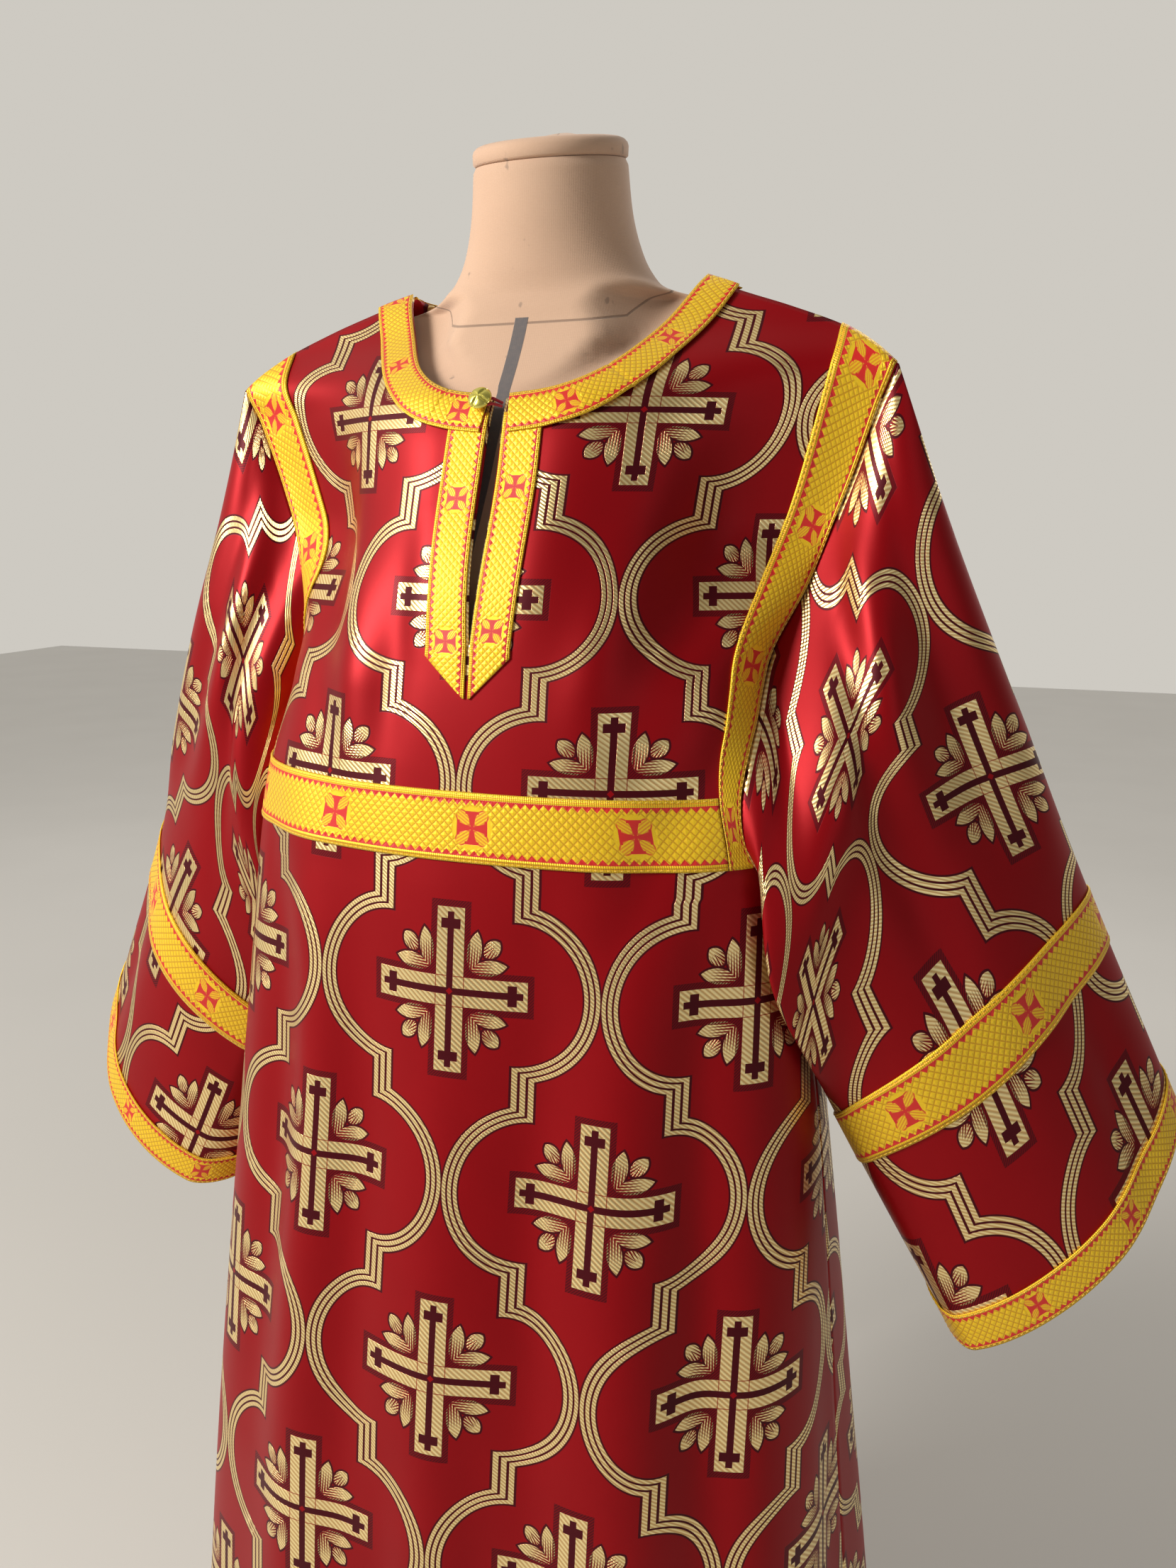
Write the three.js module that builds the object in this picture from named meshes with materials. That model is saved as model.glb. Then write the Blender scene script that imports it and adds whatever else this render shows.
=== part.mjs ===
// A sticharion, the wide-sleeved gown of Orthodox vestments, on a limbless dress form.
// Millimetres, +Z up, the gown's front faces -Y and the wearer's left is +X.
// The origin is on the floor, under the middle of the whole object.
import * as THREE from 'three';
import { mergeVertices } from 'three/addons/utils/BufferGeometryUtils.js';

// ---- driving dimensions -------------------------------------------------
const CLOTH = 1.6; // thickness of the brocade wall
const GALLOON = 1.2; // thickness of the woven trimming
const SEAM_GAP = 0.3; // clear space between pieces at a seam
const LIFT = 0.65; // clear space under a trimming that lies on the cloth
const NECK_LIFT = 1.5; // the same round the neck, where the cloth bends more
const WIDE_GALLOON = 50; // armholes, chest band and elbows
const NARROW_GALLOON = 30; // neck and slit
const CUFF_GALLOON = 30;
const HEM_Z = 160;
const UNDERARM_Z = 1062;
const SHOULDER_Z = 1430; // the outer corner of the shoulder
const NECK_SIDE = { x: 124, z: 1501 }; // where the neckline crosses the shoulder ridge
const SLIT_END_Z = 1235;
const SLIT_POINT_Z = 1198;
const BAND_Z = { low: 1084, high: 1134 }; // edges of the chest band

// One row for each height of the gown: half of its width, and how far the front, the side
// and the back lie from the middle plane of the object.
const BODY = [
  { z: 100, half: 316, front: -264, side: -22, back: 264 },
  { z: 160, half: 312, front: -258, side: -24, back: 258 },
  { z: 450, half: 287, front: -226, side: -34, back: 236 },
  { z: 600, half: 273, front: -209, side: -36, back: 222 },
  { z: 750, half: 259, front: -186, side: -36, back: 206 },
  { z: 900, half: 243, front: -158, side: -36, back: 184 },
  { z: 1050, half: 221, front: -141, side: -36, back: 162 },
  { z: 1130, half: 205, front: -131, side: -34, back: 153 },
  { z: 1215, half: 190, front: -119, side: 2, back: 150 },
  { z: 1277, half: 215, front: -106, side: 22, back: 151 },
  { z: 1351, half: 243, front: -76, side: 32, back: 153 },
  { z: 1405, half: 262, front: -53, side: 30, back: 151 },
  { z: 1430, half: 273, front: -26, side: 27, back: 148 },
  { z: 1460, half: 283, front: 12, side: 47, back: 144 },
  { z: 1489, half: 290, front: 41, side: 62, back: 140 },
  { z: 1501, half: 292, front: 57, side: 77, back: 138 },
];
// The gown is turned a little on the form: under the right arm its side lies further back.
const RIGHT_SWING = { out: 20, back: 44 };
// The shoulder ridge, from its outer corner up to the neck.
const RIDGE = [
  { z: 1430, x: 270 },
  { z: 1445, x: 252 },
  { z: 1460, x: 228 },
  { z: 1475, x: 190 },
  { z: 1489, x: 150 },
  { z: 1501, x: 124 },
];
// The front of the neckline, from the slit up to the ridge.
const NECKLINE = [
  { x: 0, z: 1408 },
  { x: 45, z: 1414 },
  { x: 75, z: 1430 },
  { x: 100, z: 1459 },
  { x: 124, z: 1501 },
];
// Where the armhole's edges and the inner edge of its trimming lie on the body's ring, in
// degrees from the front's middle, and the back edge in degrees from the back's middle.
const ARMHOLE = [
  { z: 1062, front: 90, trim: 60, back: 90 },
  { z: 1075, front: 75, trim: 60, back: 74 },
  { z: 1095, front: 68, trim: 60, back: 66 },
  { z: 1129, front: 69, trim: 60, back: 64 },
  { z: 1160, front: 76, trim: 62, back: 66 },
  { z: 1185, front: 84, trim: 65, back: 68 },
  { z: 1215, front: 90, trim: 66, back: 70 },
  { z: 1277, front: 90, trim: 59, back: 75 },
  { z: 1351, front: 90, trim: 57, back: 80 },
  { z: 1405, front: 90, trim: 56, back: 86 },
  { z: 1430, front: 90, trim: 55, back: 90 },
];
// The left sleeve below its armhole: one row for each section, with the points where its
// soft ridges run. share is the way down from the armhole to the cuff.
const SLEEVE = [
  {
    share: 0.26,
    crest: [330, 42, 1268], ridge: [279, -28, 1212], fold: [218, -104, 1014],
    inner: [247, -34, 1004], rear: [240, 72, 1050], blade: [268, 92, 1200],
  },
  {
    share: 0.5,
    crest: [392, 62, 1122], ridge: [292, -44, 1078], fold: [243, -76, 945],
    inner: [256, -15, 925], rear: [262, 85, 955], blade: [340, 118, 1062],
  },
  {
    share: 0.67,
    crest: [428, 80, 1042], ridge: [350, -34, 970], fold: [266, -42, 890],
    inner: [258, 20, 864], rear: [288, 105, 885], blade: [378, 142, 1000],
  },
  {
    share: 1,
    crest: [509, 81, 869], ridge: [470, 1, 783], fold: [374, -25, 699],
    inner: [343, 21, 713], rear: [367, 84, 776], blade: [464, 131, 877],
  },
];
// The right sleeve in the same way, as if it were on the left. It hangs further back.
const RIGHT_SLEEVE = [
  {
    share: 0.26,
    crest: [330, 42, 1268], ridge: [283, -8, 1200], fold: [254, -16, 1028],
    inner: [264, 36, 1004], rear: [258, 98, 1046], blade: [272, 105, 1200],
  },
  {
    share: 0.5,
    crest: [392, 62, 1122], ridge: [318, -6, 1060], fold: [262, 0, 935],
    inner: [256, 45, 925], rear: [270, 100, 955], blade: [340, 130, 1062],
  },
  {
    share: 0.67,
    crest: [430, 84, 1030], ridge: [372, 2, 960], fold: [290, 10, 870],
    inner: [268, 58, 858], rear: [296, 120, 885], blade: [378, 152, 990],
  },
  {
    share: 1,
    crest: [509, 85, 842], ridge: [474, 14, 752], fold: [378, 0, 678],
    inner: [330, 40, 684], rear: [356, 100, 752], blade: [458, 140, 850],
  },
];
// Where the sleeve's ridges lie round its section, as a share of the whole way round.
const SLEEVE_RAILS = { crest: 0, ridge: 0.17, fold: 0.42, inner: 0.53, rear: 0.68, blade: 0.86 };
// Where those ridges start on the armhole.
const ARMHOLE_RAILS = [
  { share: 0, z: 1430 },
  { share: 0.17, z: 1385 },
  { share: 0.3, z: 1225 },
  { share: 0.42, z: 1092 },
  { share: 0.53, z: 1062 },
  { share: 0.68, z: 1120 },
  { share: 0.86, z: 1320 },
  { share: 1, z: 1430 },
];
// Under the arm the sleeve stands out from its seam before it falls.
const PUFF = { size: 9, at: 0.05, axis: 20, droop: 0.3 };
const SLEEVE_LENGTH = 640; // along the crest, for the width of the bands
const ELBOW_SHARE = 0.67;
// Soft flutes that hang down the skirt: place round the ring in degrees from the middle of
// the front, and depth and width at the hem. Both sides have them.
const FLUTES = [
  { angle: 24, depth: 5, spread: 11 },
  { angle: 58, depth: 9, spread: 10 },
  { angle: 84, depth: -10, spread: 8 },
  { angle: 102, depth: 14, spread: 9 },
  { angle: 121, depth: -13, spread: 9 },
  { angle: 140, depth: 11, spread: 9 },
  { angle: 160, depth: -8, spread: 9 },
];
const FLUTE_TOP_Z = 1010;

// The dress form: half its width at each height, and its front, side and back.
const FORM = [
  { z: 822, half: 150, front: -88, side: 8, back: 104 },
  { z: 836, half: 158, front: -95, side: 8, back: 111 },
  { z: 920, half: 160, front: -98, side: 8, back: 114 },
  { z: 1010, half: 140, front: -84, side: 8, back: 100 },
  { z: 1090, half: 132, front: -78, side: 10, back: 98 },
  { z: 1180, half: 148, front: -86, side: 14, back: 110 },
  { z: 1270, half: 168, front: -92, side: 22, back: 124 },
  { z: 1340, half: 177, front: -70, side: 34, back: 130 },
  { z: 1395, half: 190, front: -46, side: 40, back: 124 },
  { z: 1430, half: 194, front: -26, side: 46, back: 112 },
  { z: 1450, half: 190, front: -16, side: 50, back: 104 },
  { z: 1466, half: 178, front: -10, side: 54, back: 100 },
  { z: 1475, half: 160, front: -8, side: 57, back: 100 },
  { z: 1481, half: 138, front: -6, side: 58, back: 104 },
  { z: 1487, half: 114, front: -4, side: 57, back: 108 },
  { z: 1494, half: 92, front: -4, side: 58, back: 111 },
  { z: 1503, half: 81, front: -5, side: 60, back: 120 },
  { z: 1520, half: 71, front: -6, side: 58, back: 120 },
  { z: 1548, half: 63, front: -8, side: 54, back: 115 },
  { z: 1587, half: 59, front: -8, side: 51, back: 110 },
];
const FORM_AROUND = 36;
const FORM_CLEARANCE = 6; // between the form's front and the cloth before it
const NECK_TILT = 11; // the neck's top is higher at the back
const NECK_CAP = { low: 1587.4, shoulder: 1597, high: 1603, inset: 8 };
const POLE = { radius: 14, y: 8 };
const BASE = { radius: 185, height: 12, hub: 30, hubHeight: 38 };
const BUTTON = { x: -12, z: 1402, radius: 9, shank: 2, rise: 3.4, height: 6, facets: 12 };
const LOOP_CORD = 1.1; // radius of each of the two cords

const COLOURS = {
  brocade: 0x9c1220,
  galloon: 0xd9ae2b,
  metal: 0xd8c24a,
  cord: 0xc4182c,
  canvas: 0xc9ab8c,
  stand: 0x2a2a2c,
};

// ---- small helpers ------------------------------------------------------
const radians = (degrees) => (degrees * Math.PI) / 180;
const clamp = (value, low, high) => Math.min(high, Math.max(low, value));
const mix = (a, b, share) => a + (b - a) * share;
const smooth = (low, high, value) => {
  const share = clamp((value - low) / (high - low), 0, 1);
  return share * share * (3 - 2 * share);
};
const range = (count) => Array.from({ length: count }, (_, index) => index);

// Value of one column of a table at a place between its rows, on a smooth curve.
function column(rows, place, key, name) {
  const at = (index) => rows[clamp(index, 0, rows.length - 1)];
  let row = 0;
  while (row < rows.length - 2 && place > rows[row + 1][key]) row += 1;
  const slope = (index) => {
    const before = at(index - 1);
    const after = at(index + 1);
    return (after[name] - before[name]) / (after[key] - before[key]);
  };
  const step = at(row + 1)[key] - at(row)[key];
  const share = clamp((place - at(row)[key]) / step, 0, 1);
  const square = share * share;
  const cube = square * share;
  return (
    at(row)[name] * (2 * cube - 3 * square + 1) +
    at(row + 1)[name] * (3 * square - 2 * cube) +
    slope(row) * step * (cube - 2 * square + share) +
    slope(row + 1) * step * (cube - square)
  );
}
const descending = (rows) => [...rows].sort((a, b) => a.z - b.z);
const RIDGE_UP = descending(RIDGE);

// ---- the gown's surface -------------------------------------------------
// A point of the body's ring. turn is in degrees from the middle of the front (facing -1)
// or of the back (facing +1), positive towards the wearer's left.
function bodyPoint(turn, z, facing) {
  const swing = turn < 0 ? smooth(940, 1090, z) * (1 - smooth(1195, 1290, z)) : 0;
  const half = column(BODY, z, 'z', 'half') + RIGHT_SWING.out * swing;
  const side = column(BODY, z, 'z', 'side') + RIGHT_SWING.back * swing;
  const middle = column(BODY, z, 'z', facing < 0 ? 'front' : 'back');
  const across = Math.sin(radians(turn));
  const share = Math.min(Math.abs(across), 1);
  const squareness = 2.35;
  const oval = 1 - Math.pow(Math.max(1 - Math.pow(share, squareness), 0), 1 / squareness);
  const draped = smooth(0.17, 1.02, share);
  const high = facing < 0 ? smooth(1200, 1330, z) : 0;
  const depth = mix(oval, draped, high);
  const point = new THREE.Vector3(half * across, mix(middle, side, depth), z);
  const angle = facing < 0 ? Math.abs(turn) : 180 - Math.abs(turn);
  const fall = smooth(0, 1, (FLUTE_TOP_Z - z) / (FLUTE_TOP_Z - HEM_Z));
  let push = 0;
  for (const flute of FLUTES) {
    const away = (angle - flute.angle) / flute.spread;
    push += flute.depth * Math.exp(-away * away);
  }
  const outward = new THREE.Vector2(point.x / half, (point.y - side) / Math.abs(middle - side));
  outward.normalize();
  point.x += outward.x * push * fall;
  point.y += outward.y * push * fall;
  return point;
}
// The left armhole bites into the front, the right one's front edge is at the gown's side.
const armholeTurn = (z, sign) => (sign > 0 ? column(ARMHOLE, z, 'z', 'front') : 90);
const flipped = (point, sign) => point.setX(point.x * sign);
const armholeFront = (z, sign) =>
  flipped(bodyPoint(sign * armholeTurn(z, sign), z, -1), sign);
const ridgePoint = (z) => {
  const x = column(RIDGE_UP, z, 'z', 'x');
  const turn = THREE.MathUtils.radToDeg(Math.asin(x / column(BODY, z, 'z', 'half')));
  return { turn, z };
};
const NECK_SHARE = 0.5; // of each half front's top edge is neckline, the rest is shoulder

// The yoke's rows: its low ones are level and follow the chest band's edges.
const YOKE_ROWS = 14;
const LEVEL_ROWS = [UNDERARM_Z, BAND_Z.low, (BAND_Z.low + BAND_Z.high) / 2, BAND_Z.high];
const LAST_LEVEL = LEVEL_ROWS.length - 1;
function yokeHeight(up, top) {
  const row = up * YOKE_ROWS;
  if (row >= LAST_LEVEL) {
    return mix(BAND_Z.high, top, (row - LAST_LEVEL) / (YOKE_ROWS - LAST_LEVEL));
  }
  const low = Math.floor(row);
  return mix(LEVEL_ROWS[low], LEVEL_ROWS[low + 1], row - low);
}
function yokeUpAt(z) {
  if (z >= BAND_Z.high) {
    const share = (z - BAND_Z.high) / (SHOULDER_Z - BAND_Z.high);
    return mix(LAST_LEVEL, YOKE_ROWS, share) / YOKE_ROWS;
  }
  const low = z < BAND_Z.low ? 0 : z < LEVEL_ROWS[2] ? 1 : 2;
  return (low + (z - LEVEL_ROWS[low]) / (LEVEL_ROWS[low + 1] - LEVEL_ROWS[low])) / YOKE_ROWS;
}
// The turn that lies a width along the ring from another turn, towards the middle.
function turnAcross(turn, width, z, sign, facing) {
  let place = turn;
  let last = bodyPoint(sign * place, z, facing);
  let length = 0;
  while (length < width && place > 1) {
    place -= 0.25;
    const next = bodyPoint(sign * place, z, facing);
    length += next.distanceTo(last);
    last = next;
  }
  return place;
}
// A column of each panel runs along the inner edge of the armhole's trimming.
const TRIM_SHARE = 11 / 14;
function fitToTrim(size, up, plain, wanted) {
  const tent = size < TRIM_SHARE ? size / TRIM_SHARE : (1 - size) / (1 - TRIM_SHARE);
  const fade = smooth(0, 1 / YOKE_ROWS, up) * (1 - smooth(0.9, 0.995, up));
  return tent * fade * (wanted - plain);
}
const trimTurn = (z, sign) => {
  const low = Math.min(z, SHOULDER_Z);
  return sign > 0 ? column(ARMHOLE, low, 'z', 'trim') : turnAcross(90, WIDE_GALLOON, low, -1, -1);
};

// Place on the front panel: across runs from -1 to 1, up from 0 at the underarm to 1.
function frontTop(size) {
  if (size >= NECK_SHARE) {
    const share = (size - NECK_SHARE) / (1 - NECK_SHARE);
    return ridgePoint(mix(NECK_SIDE.z, SHOULDER_Z, share));
  }
  const x = (NECK_SIDE.x * size) / NECK_SHARE;
  const z = column(NECKLINE, x, 'x', 'z');
  return { z, turn: THREE.MathUtils.radToDeg(Math.asin(x / column(BODY, z, 'z', 'half'))) };
}
function frontPlace(across, up) {
  const size = Math.abs(across);
  const sign = Math.sign(across);
  const top = frontTop(size);
  const edge = armholeTurn(yokeHeight(up, SHOULDER_Z), sign);
  const plain = (share, turn) => up * (turn - 90 * share) + share * edge;
  const trimTop = frontTop(TRIM_SHARE);
  const wanted = trimTurn(yokeHeight(up, trimTop.z), sign);
  const fit = fitToTrim(size, up, plain(TRIM_SHARE, trimTop.turn), wanted);
  return { turn: sign * (plain(size, top.turn) + fit), z: yokeHeight(up, top.z) };
}
function frontPoint(across, up) {
  const place = frontPlace(across, up);
  return bodyPoint(place.turn, place.z, -1);
}
// The back's neckline is an arc behind the neck.
const BACK_NECK = { y: 66, depth: 76, drop: 9 };
function backTop(across) {
  const size = Math.abs(across);
  if (size >= NECK_SHARE) {
    const share = (size - NECK_SHARE) / (1 - NECK_SHARE);
    const place = ridgePoint(mix(NECK_SIDE.z, SHOULDER_Z, share));
    const point = bodyPoint(place.turn, place.z, -1);
    point.x *= Math.sign(across);
    return point;
  }
  const angle = ((across / NECK_SHARE) * Math.PI) / 2;
  const side = frontPoint(NECK_SHARE, 1);
  return new THREE.Vector3(
    NECK_SIDE.x * Math.sin(angle),
    side.y + BACK_NECK.depth * Math.cos(angle),
    NECK_SIDE.z - BACK_NECK.drop * Math.cos(angle),
  );
}
function backPoint(across, up) {
  const size = Math.abs(across);
  const sign = Math.sign(across);
  const top = backTop(across);
  const turnOf = (spot) => {
    const half = column(BODY, spot.z, 'z', 'half');
    return THREE.MathUtils.radToDeg(Math.asin(Math.min(Math.abs(spot.x) / half, 1)));
  };
  const edgeZ = yokeHeight(up, SHOULDER_Z);
  const edge = column(ARMHOLE, edgeZ, 'z', 'back');
  const plain = (share, spot) => up * (turnOf(spot) - 90 * share) + share * edge;
  const wanted = turnAcross(edge, WIDE_GALLOON, edgeZ, sign || 1, 1);
  const fit = fitToTrim(size, up, plain(TRIM_SHARE, backTop(TRIM_SHARE)), wanted);
  const turn = sign * (plain(size, top) + fit);
  const point = bodyPoint(turn, yokeHeight(up, top.z), 1);
  const miss = top.clone().sub(bodyPoint(sign * turnOf(top), top.z, 1));
  return point.addScaledVector(miss, up ** 11);
}
const skirtPoint = (across, z, facing) => bodyPoint(90 * across, z, facing);
const armholeBack = (z, sign) =>
  flipped(backPoint(sign, yokeUpAt(z)), sign);

// ---- the sleeve's surface -----------------------------------------------
const RAIL_NAMES = Object.keys(SLEEVE_RAILS);
// A closed smooth curve through the ridges of one section.
function sectionPoint(section, around) {
  const count = RAIL_NAMES.length;
  const place = ((around % 1) + 1) % 1;
  const start = (index) => SLEEVE_RAILS[RAIL_NAMES[((index % count) + count) % count]]
    + Math.floor(index / count);
  const corner = (index) => section[RAIL_NAMES[((index % count) + count) % count]];
  let rail = 0;
  while (rail < count - 1 && place > start(rail + 1)) rail += 1;
  const step = start(rail + 1) - start(rail);
  const share = (place - start(rail)) / step;
  const square = share * share;
  const cube = square * share;
  const value = (axis) => {
    const slope = (index) =>
      (corner(index + 1)[axis] - corner(index - 1)[axis]) / (start(index + 1) - start(index - 1));
    return (
      corner(rail)[axis] * (2 * cube - 3 * square + 1) +
      corner(rail + 1)[axis] * (3 * square - 2 * cube) +
      slope(rail) * step * (cube - 2 * square + share) +
      slope(rail + 1) * step * (cube - square)
    );
  };
  return new THREE.Vector3(value(0), value(1), value(2));
}
function armholePoint(around, sign) {
  const z = clamp(column(ARMHOLE_RAILS, around, 'share', 'z'), UNDERARM_Z, SHOULDER_Z);
  return around <= SLEEVE_RAILS.inner ? armholeFront(z, sign) : armholeBack(z, sign);
}
// A point of a sleeve: around from 0 at the crest by the front, down from 0 to 1. The right
// sleeve (sign -1) is worked out as if it were on the left.
function sleevePoint(around, down, sign) {
  const place = around - Math.floor(around);
  const stations = [{ share: 0, point: armholePoint(place, sign) }];
  for (const section of sign > 0 ? SLEEVE : RIGHT_SLEEVE) {
    stations.push({ share: section.share, point: sectionPoint(section, place) });
  }
  const rows = stations.map(({ share, point }) => ({ share, x: point.x, y: point.y, z: point.z }));
  const low = smooth(0.22, 0.36, place) * (1 - smooth(0.78, 0.94, place));
  const puff = PUFF.size * low * (down / PUFF.at) * Math.exp(1 - down / PUFF.at);
  const start = stations[0].point;
  const out = new THREE.Vector3(start.x, start.y - PUFF.axis, -start.x * PUFF.droop).normalize();
  const point = new THREE.Vector3(
    column(rows, down, 'share', 'x'),
    column(rows, down, 'share', 'y'),
    column(rows, down, 'share', 'z'),
  );
  return point.addScaledVector(out, puff);
}

// ---- walls --------------------------------------------------------------
// Normals of a grid of points, taken from their neighbours.
function gridNormals(grid, closed) {
  const rows = grid.length;
  const columns = grid[0].length;
  return grid.map((row, r) =>
    row.map((_, c) => {
      const right = closed ? (c + 1) % columns : Math.min(c + 1, columns - 1);
      const left = closed ? (c + columns - 1) % columns : Math.max(c - 1, 0);
      const along = grid[r][right].clone().sub(grid[r][left]);
      const up = grid[Math.min(r + 1, rows - 1)][c].clone().sub(grid[Math.max(r - 1, 0)][c]);
      return along.cross(up).normalize();
    }),
  );
}
// Both layers of a wall over a grid, at two distances along its normals, and its faces.
function wall(grid, normals, from, to, closed = false) {
  const rows = grid.length;
  const columns = grid[0].length;
  const positions = [];
  for (const distance of [to, from]) {
    grid.forEach((row, r) =>
      row.forEach((point, c) => {
        const moved = point.clone().addScaledVector(normals[r][c], distance);
        positions.push(moved.x, moved.y, moved.z);
      }),
    );
  }
  const layer = rows * columns;
  const at = (r, c) => r * columns + (c % columns);
  const faces = [];
  const across = closed ? columns : columns - 1;
  for (const r of range(rows - 1)) {
    for (const c of range(across)) {
      const corners = [at(r, c), at(r, c + 1), at(r + 1, c + 1), at(r + 1, c)];
      faces.push([corners[0], corners[1], corners[2]], [corners[0], corners[2], corners[3]]);
    }
  }
  return { positions, layer, faces };
}
// Closes two layers of the same faces into one solid, with a rim along the open edges.
function solid({ positions, layer, faces }) {
  const edges = new Map();
  const indices = [];
  for (const [a, b, c] of faces) {
    indices.push(a, b, c, a + layer, c + layer, b + layer);
    for (const [start, end] of [[a, b], [b, c], [c, a]]) {
      const back = `${end},${start}`;
      if (edges.has(back)) edges.delete(back);
      else edges.set(`${start},${end}`, [start, end]);
    }
  }
  for (const [start, end] of edges.values()) {
    indices.push(start, start + layer, end + layer, start, end + layer, end);
  }
  const used = new Map();
  const kept = [];
  const renumbered = indices.map((index) => {
    if (!used.has(index)) {
      used.set(index, used.size);
      kept.push(...positions.slice(3 * index, 3 * index + 3));
    }
    return used.get(index);
  });
  const geometry = new THREE.BufferGeometry();
  geometry.setAttribute('position', new THREE.Float32BufferAttribute(kept, 3));
  geometry.setIndex(renumbered);
  return geometry;
}
const clothWall = (grid, closed = false) =>
  solid(wall(grid, gridNormals(grid, closed), -CLOTH / 2, CLOTH / 2, closed));
const trimWall = (grid, lift) => {
  const low = CLOTH / 2 + lift;
  return solid(wall(grid, gridNormals(grid, false), low, low + GALLOON));
};
const mirrored = (grid) =>
  grid.map((row) => row.map((point) => new THREE.Vector3(-point.x, point.y, point.z)).reverse());

// ---- front and back panels ----------------------------------------------
const SKIRT_ROWS = 9;
const ACROSS = 28; // cells across a panel
const SEAM_SETBACK = 0.0002; // of the half panel, so that seam edges stay apart
const acrossPlaces = range(ACROSS + 1).map((index) => {
  const even = (2 * index) / ACROSS - 1;
  return clamp(even, -1 + SEAM_SETBACK, 1 - SEAM_SETBACK);
});
const yokeUp = (row) => Math.min(row / YOKE_ROWS, 1 - 0.004);

function panelGrid(facing, yokePoint) {
  const rows = [];
  for (const row of range(SKIRT_ROWS)) {
    const z = mix(HEM_Z, UNDERARM_Z, row / SKIRT_ROWS);
    rows.push(acrossPlaces.map((across) => skirtPoint(across, z, facing)));
  }
  for (const row of range(YOKE_ROWS + 1)) {
    rows.push(acrossPlaces.map((across) => yokePoint(across, yokeUp(row))));
  }
  return rows;
}
const slitHalfWidth = (z) => {
  const share = clamp((z - SLIT_END_Z) / (NECKLINE[0].z - SLIT_END_Z), 0, 1);
  return 4 * Math.sin(Math.PI * Math.min(share * 0.85 + 0.02, 1)) + 2.6 * share;
};

function panelOf(facing, yokePoint) {
  const grid = panelGrid(facing, yokePoint);
  const normals = gridNormals(grid, false);
  normals.flat().forEach((normal) => normal.multiplyScalar(-facing));
  // At the side seams both panels' walls face straight out, so their edges stay parallel.
  for (const row of normals.slice(0, SKIRT_ROWS + 1)) {
    for (const edge of [row[0], row[ACROSS]]) edge.setY(0).normalize();
  }
  return { grid, normals };
}
const FRONT = panelOf(-1, frontPoint);
const BACK = panelOf(1, backPoint);

// The front is one wall whose middle column is parted above the end of the slit.
function frontPanel() {
  const { grid, normals } = FRONT;
  const middle = ACROSS / 2;
  const slitRow = SKIRT_ROWS + YOKE_ROWS / 2;
  const sheet = wall(grid, normals, -CLOTH / 2, CLOTH / 2);
  const columns = ACROSS + 1;
  const twins = new Map();
  const extra = [[], []];
  for (let row = slitRow + 1; row < grid.length; row += 1) {
    const index = row * columns + middle;
    twins.set(index, extra[0].length / 3);
    for (const side of [0, 1]) {
      const start = 3 * (index + side * sheet.layer);
      const [x, y, z] = sheet.positions.slice(start, start + 3);
      const width = slitHalfWidth(grid[row][middle].z);
      sheet.positions[start] = x - width;
      extra[side].push(x + width, y, z);
    }
  }
  const layer = sheet.layer + twins.size;
  const positions = [
    ...sheet.positions.slice(0, 3 * sheet.layer), ...extra[0],
    ...sheet.positions.slice(3 * sheet.layer), ...extra[1],
  ];
  const isRight = (face) => face.some((index) => index % columns > middle);
  const faces = sheet.faces.map((face) =>
    isRight(face)
      ? face.map((index) => (twins.has(index) ? sheet.layer + twins.get(index) : index))
      : face,
  );
  return solid({ positions, layer, faces });
}
// Seen from outside the back's columns run the other way.
function backPanel() {
  const turned = (table) => table.map((row) => [...row].reverse());
  return solid(wall(turned(BACK.grid), turned(BACK.normals), -CLOTH / 2, CLOTH / 2));
}

// A place on a panel between its rows and columns, with the cloth's normal there.
function onPanel(panel, row, place) {
  const left = clamp(Math.floor(place), 0, ACROSS - 1);
  const below = clamp(Math.floor(row), 0, panel.grid.length - 2);
  const between = (table) => {
    const low = table[below][left].clone().lerp(table[below][left + 1], place - left);
    const high = table[below + 1][left].clone().lerp(table[below + 1][left + 1], place - left);
    return low.lerp(high, row - below);
  };
  return { point: between(panel.grid), normal: between(panel.normals).normalize() };
}
function trimOnPanels(rows, lift = LIFT) {
  const grid = rows.map((row) => row.map((spot) => spot.point));
  const normals = rows.map((row) => row.map((spot) => spot.normal));
  const low = CLOTH / 2 + lift;
  return solid(wall(grid, normals, low, low + GALLOON));
}

// ---- sleeves ------------------------------------------------------------
const SLEEVE_AROUND = 28;
const SLEEVE_START = { left: 0.007, right: 0.0035 }; // clear of the panels at the armhole
const ELBOW_END = ELBOW_SHARE + WIDE_GALLOON / SLEEVE_LENGTH;
const CUFF_START = 1 - CUFF_GALLOON / SLEEVE_LENGTH;
// The sleeve's rows from the cuff up, with rows along the edges of its two bands.
const SLEEVE_DOWN = [
  1, CUFF_START, 0.89, 0.82, ELBOW_END, ELBOW_SHARE, 0.6, 0.51, 0.42, 0.33, 0.24, 0.16, 0.09, 0.04,
];
const sleeveRing = (down, sign) =>
  range(SLEEVE_AROUND).map((index) => sleevePoint(index / SLEEVE_AROUND, down, sign));
function sleeveGrid(sign) {
  const start = sign > 0 ? SLEEVE_START.left : SLEEVE_START.right;
  return [...SLEEVE_DOWN, start].map((down) => sleeveRing(down, sign));
}
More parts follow.
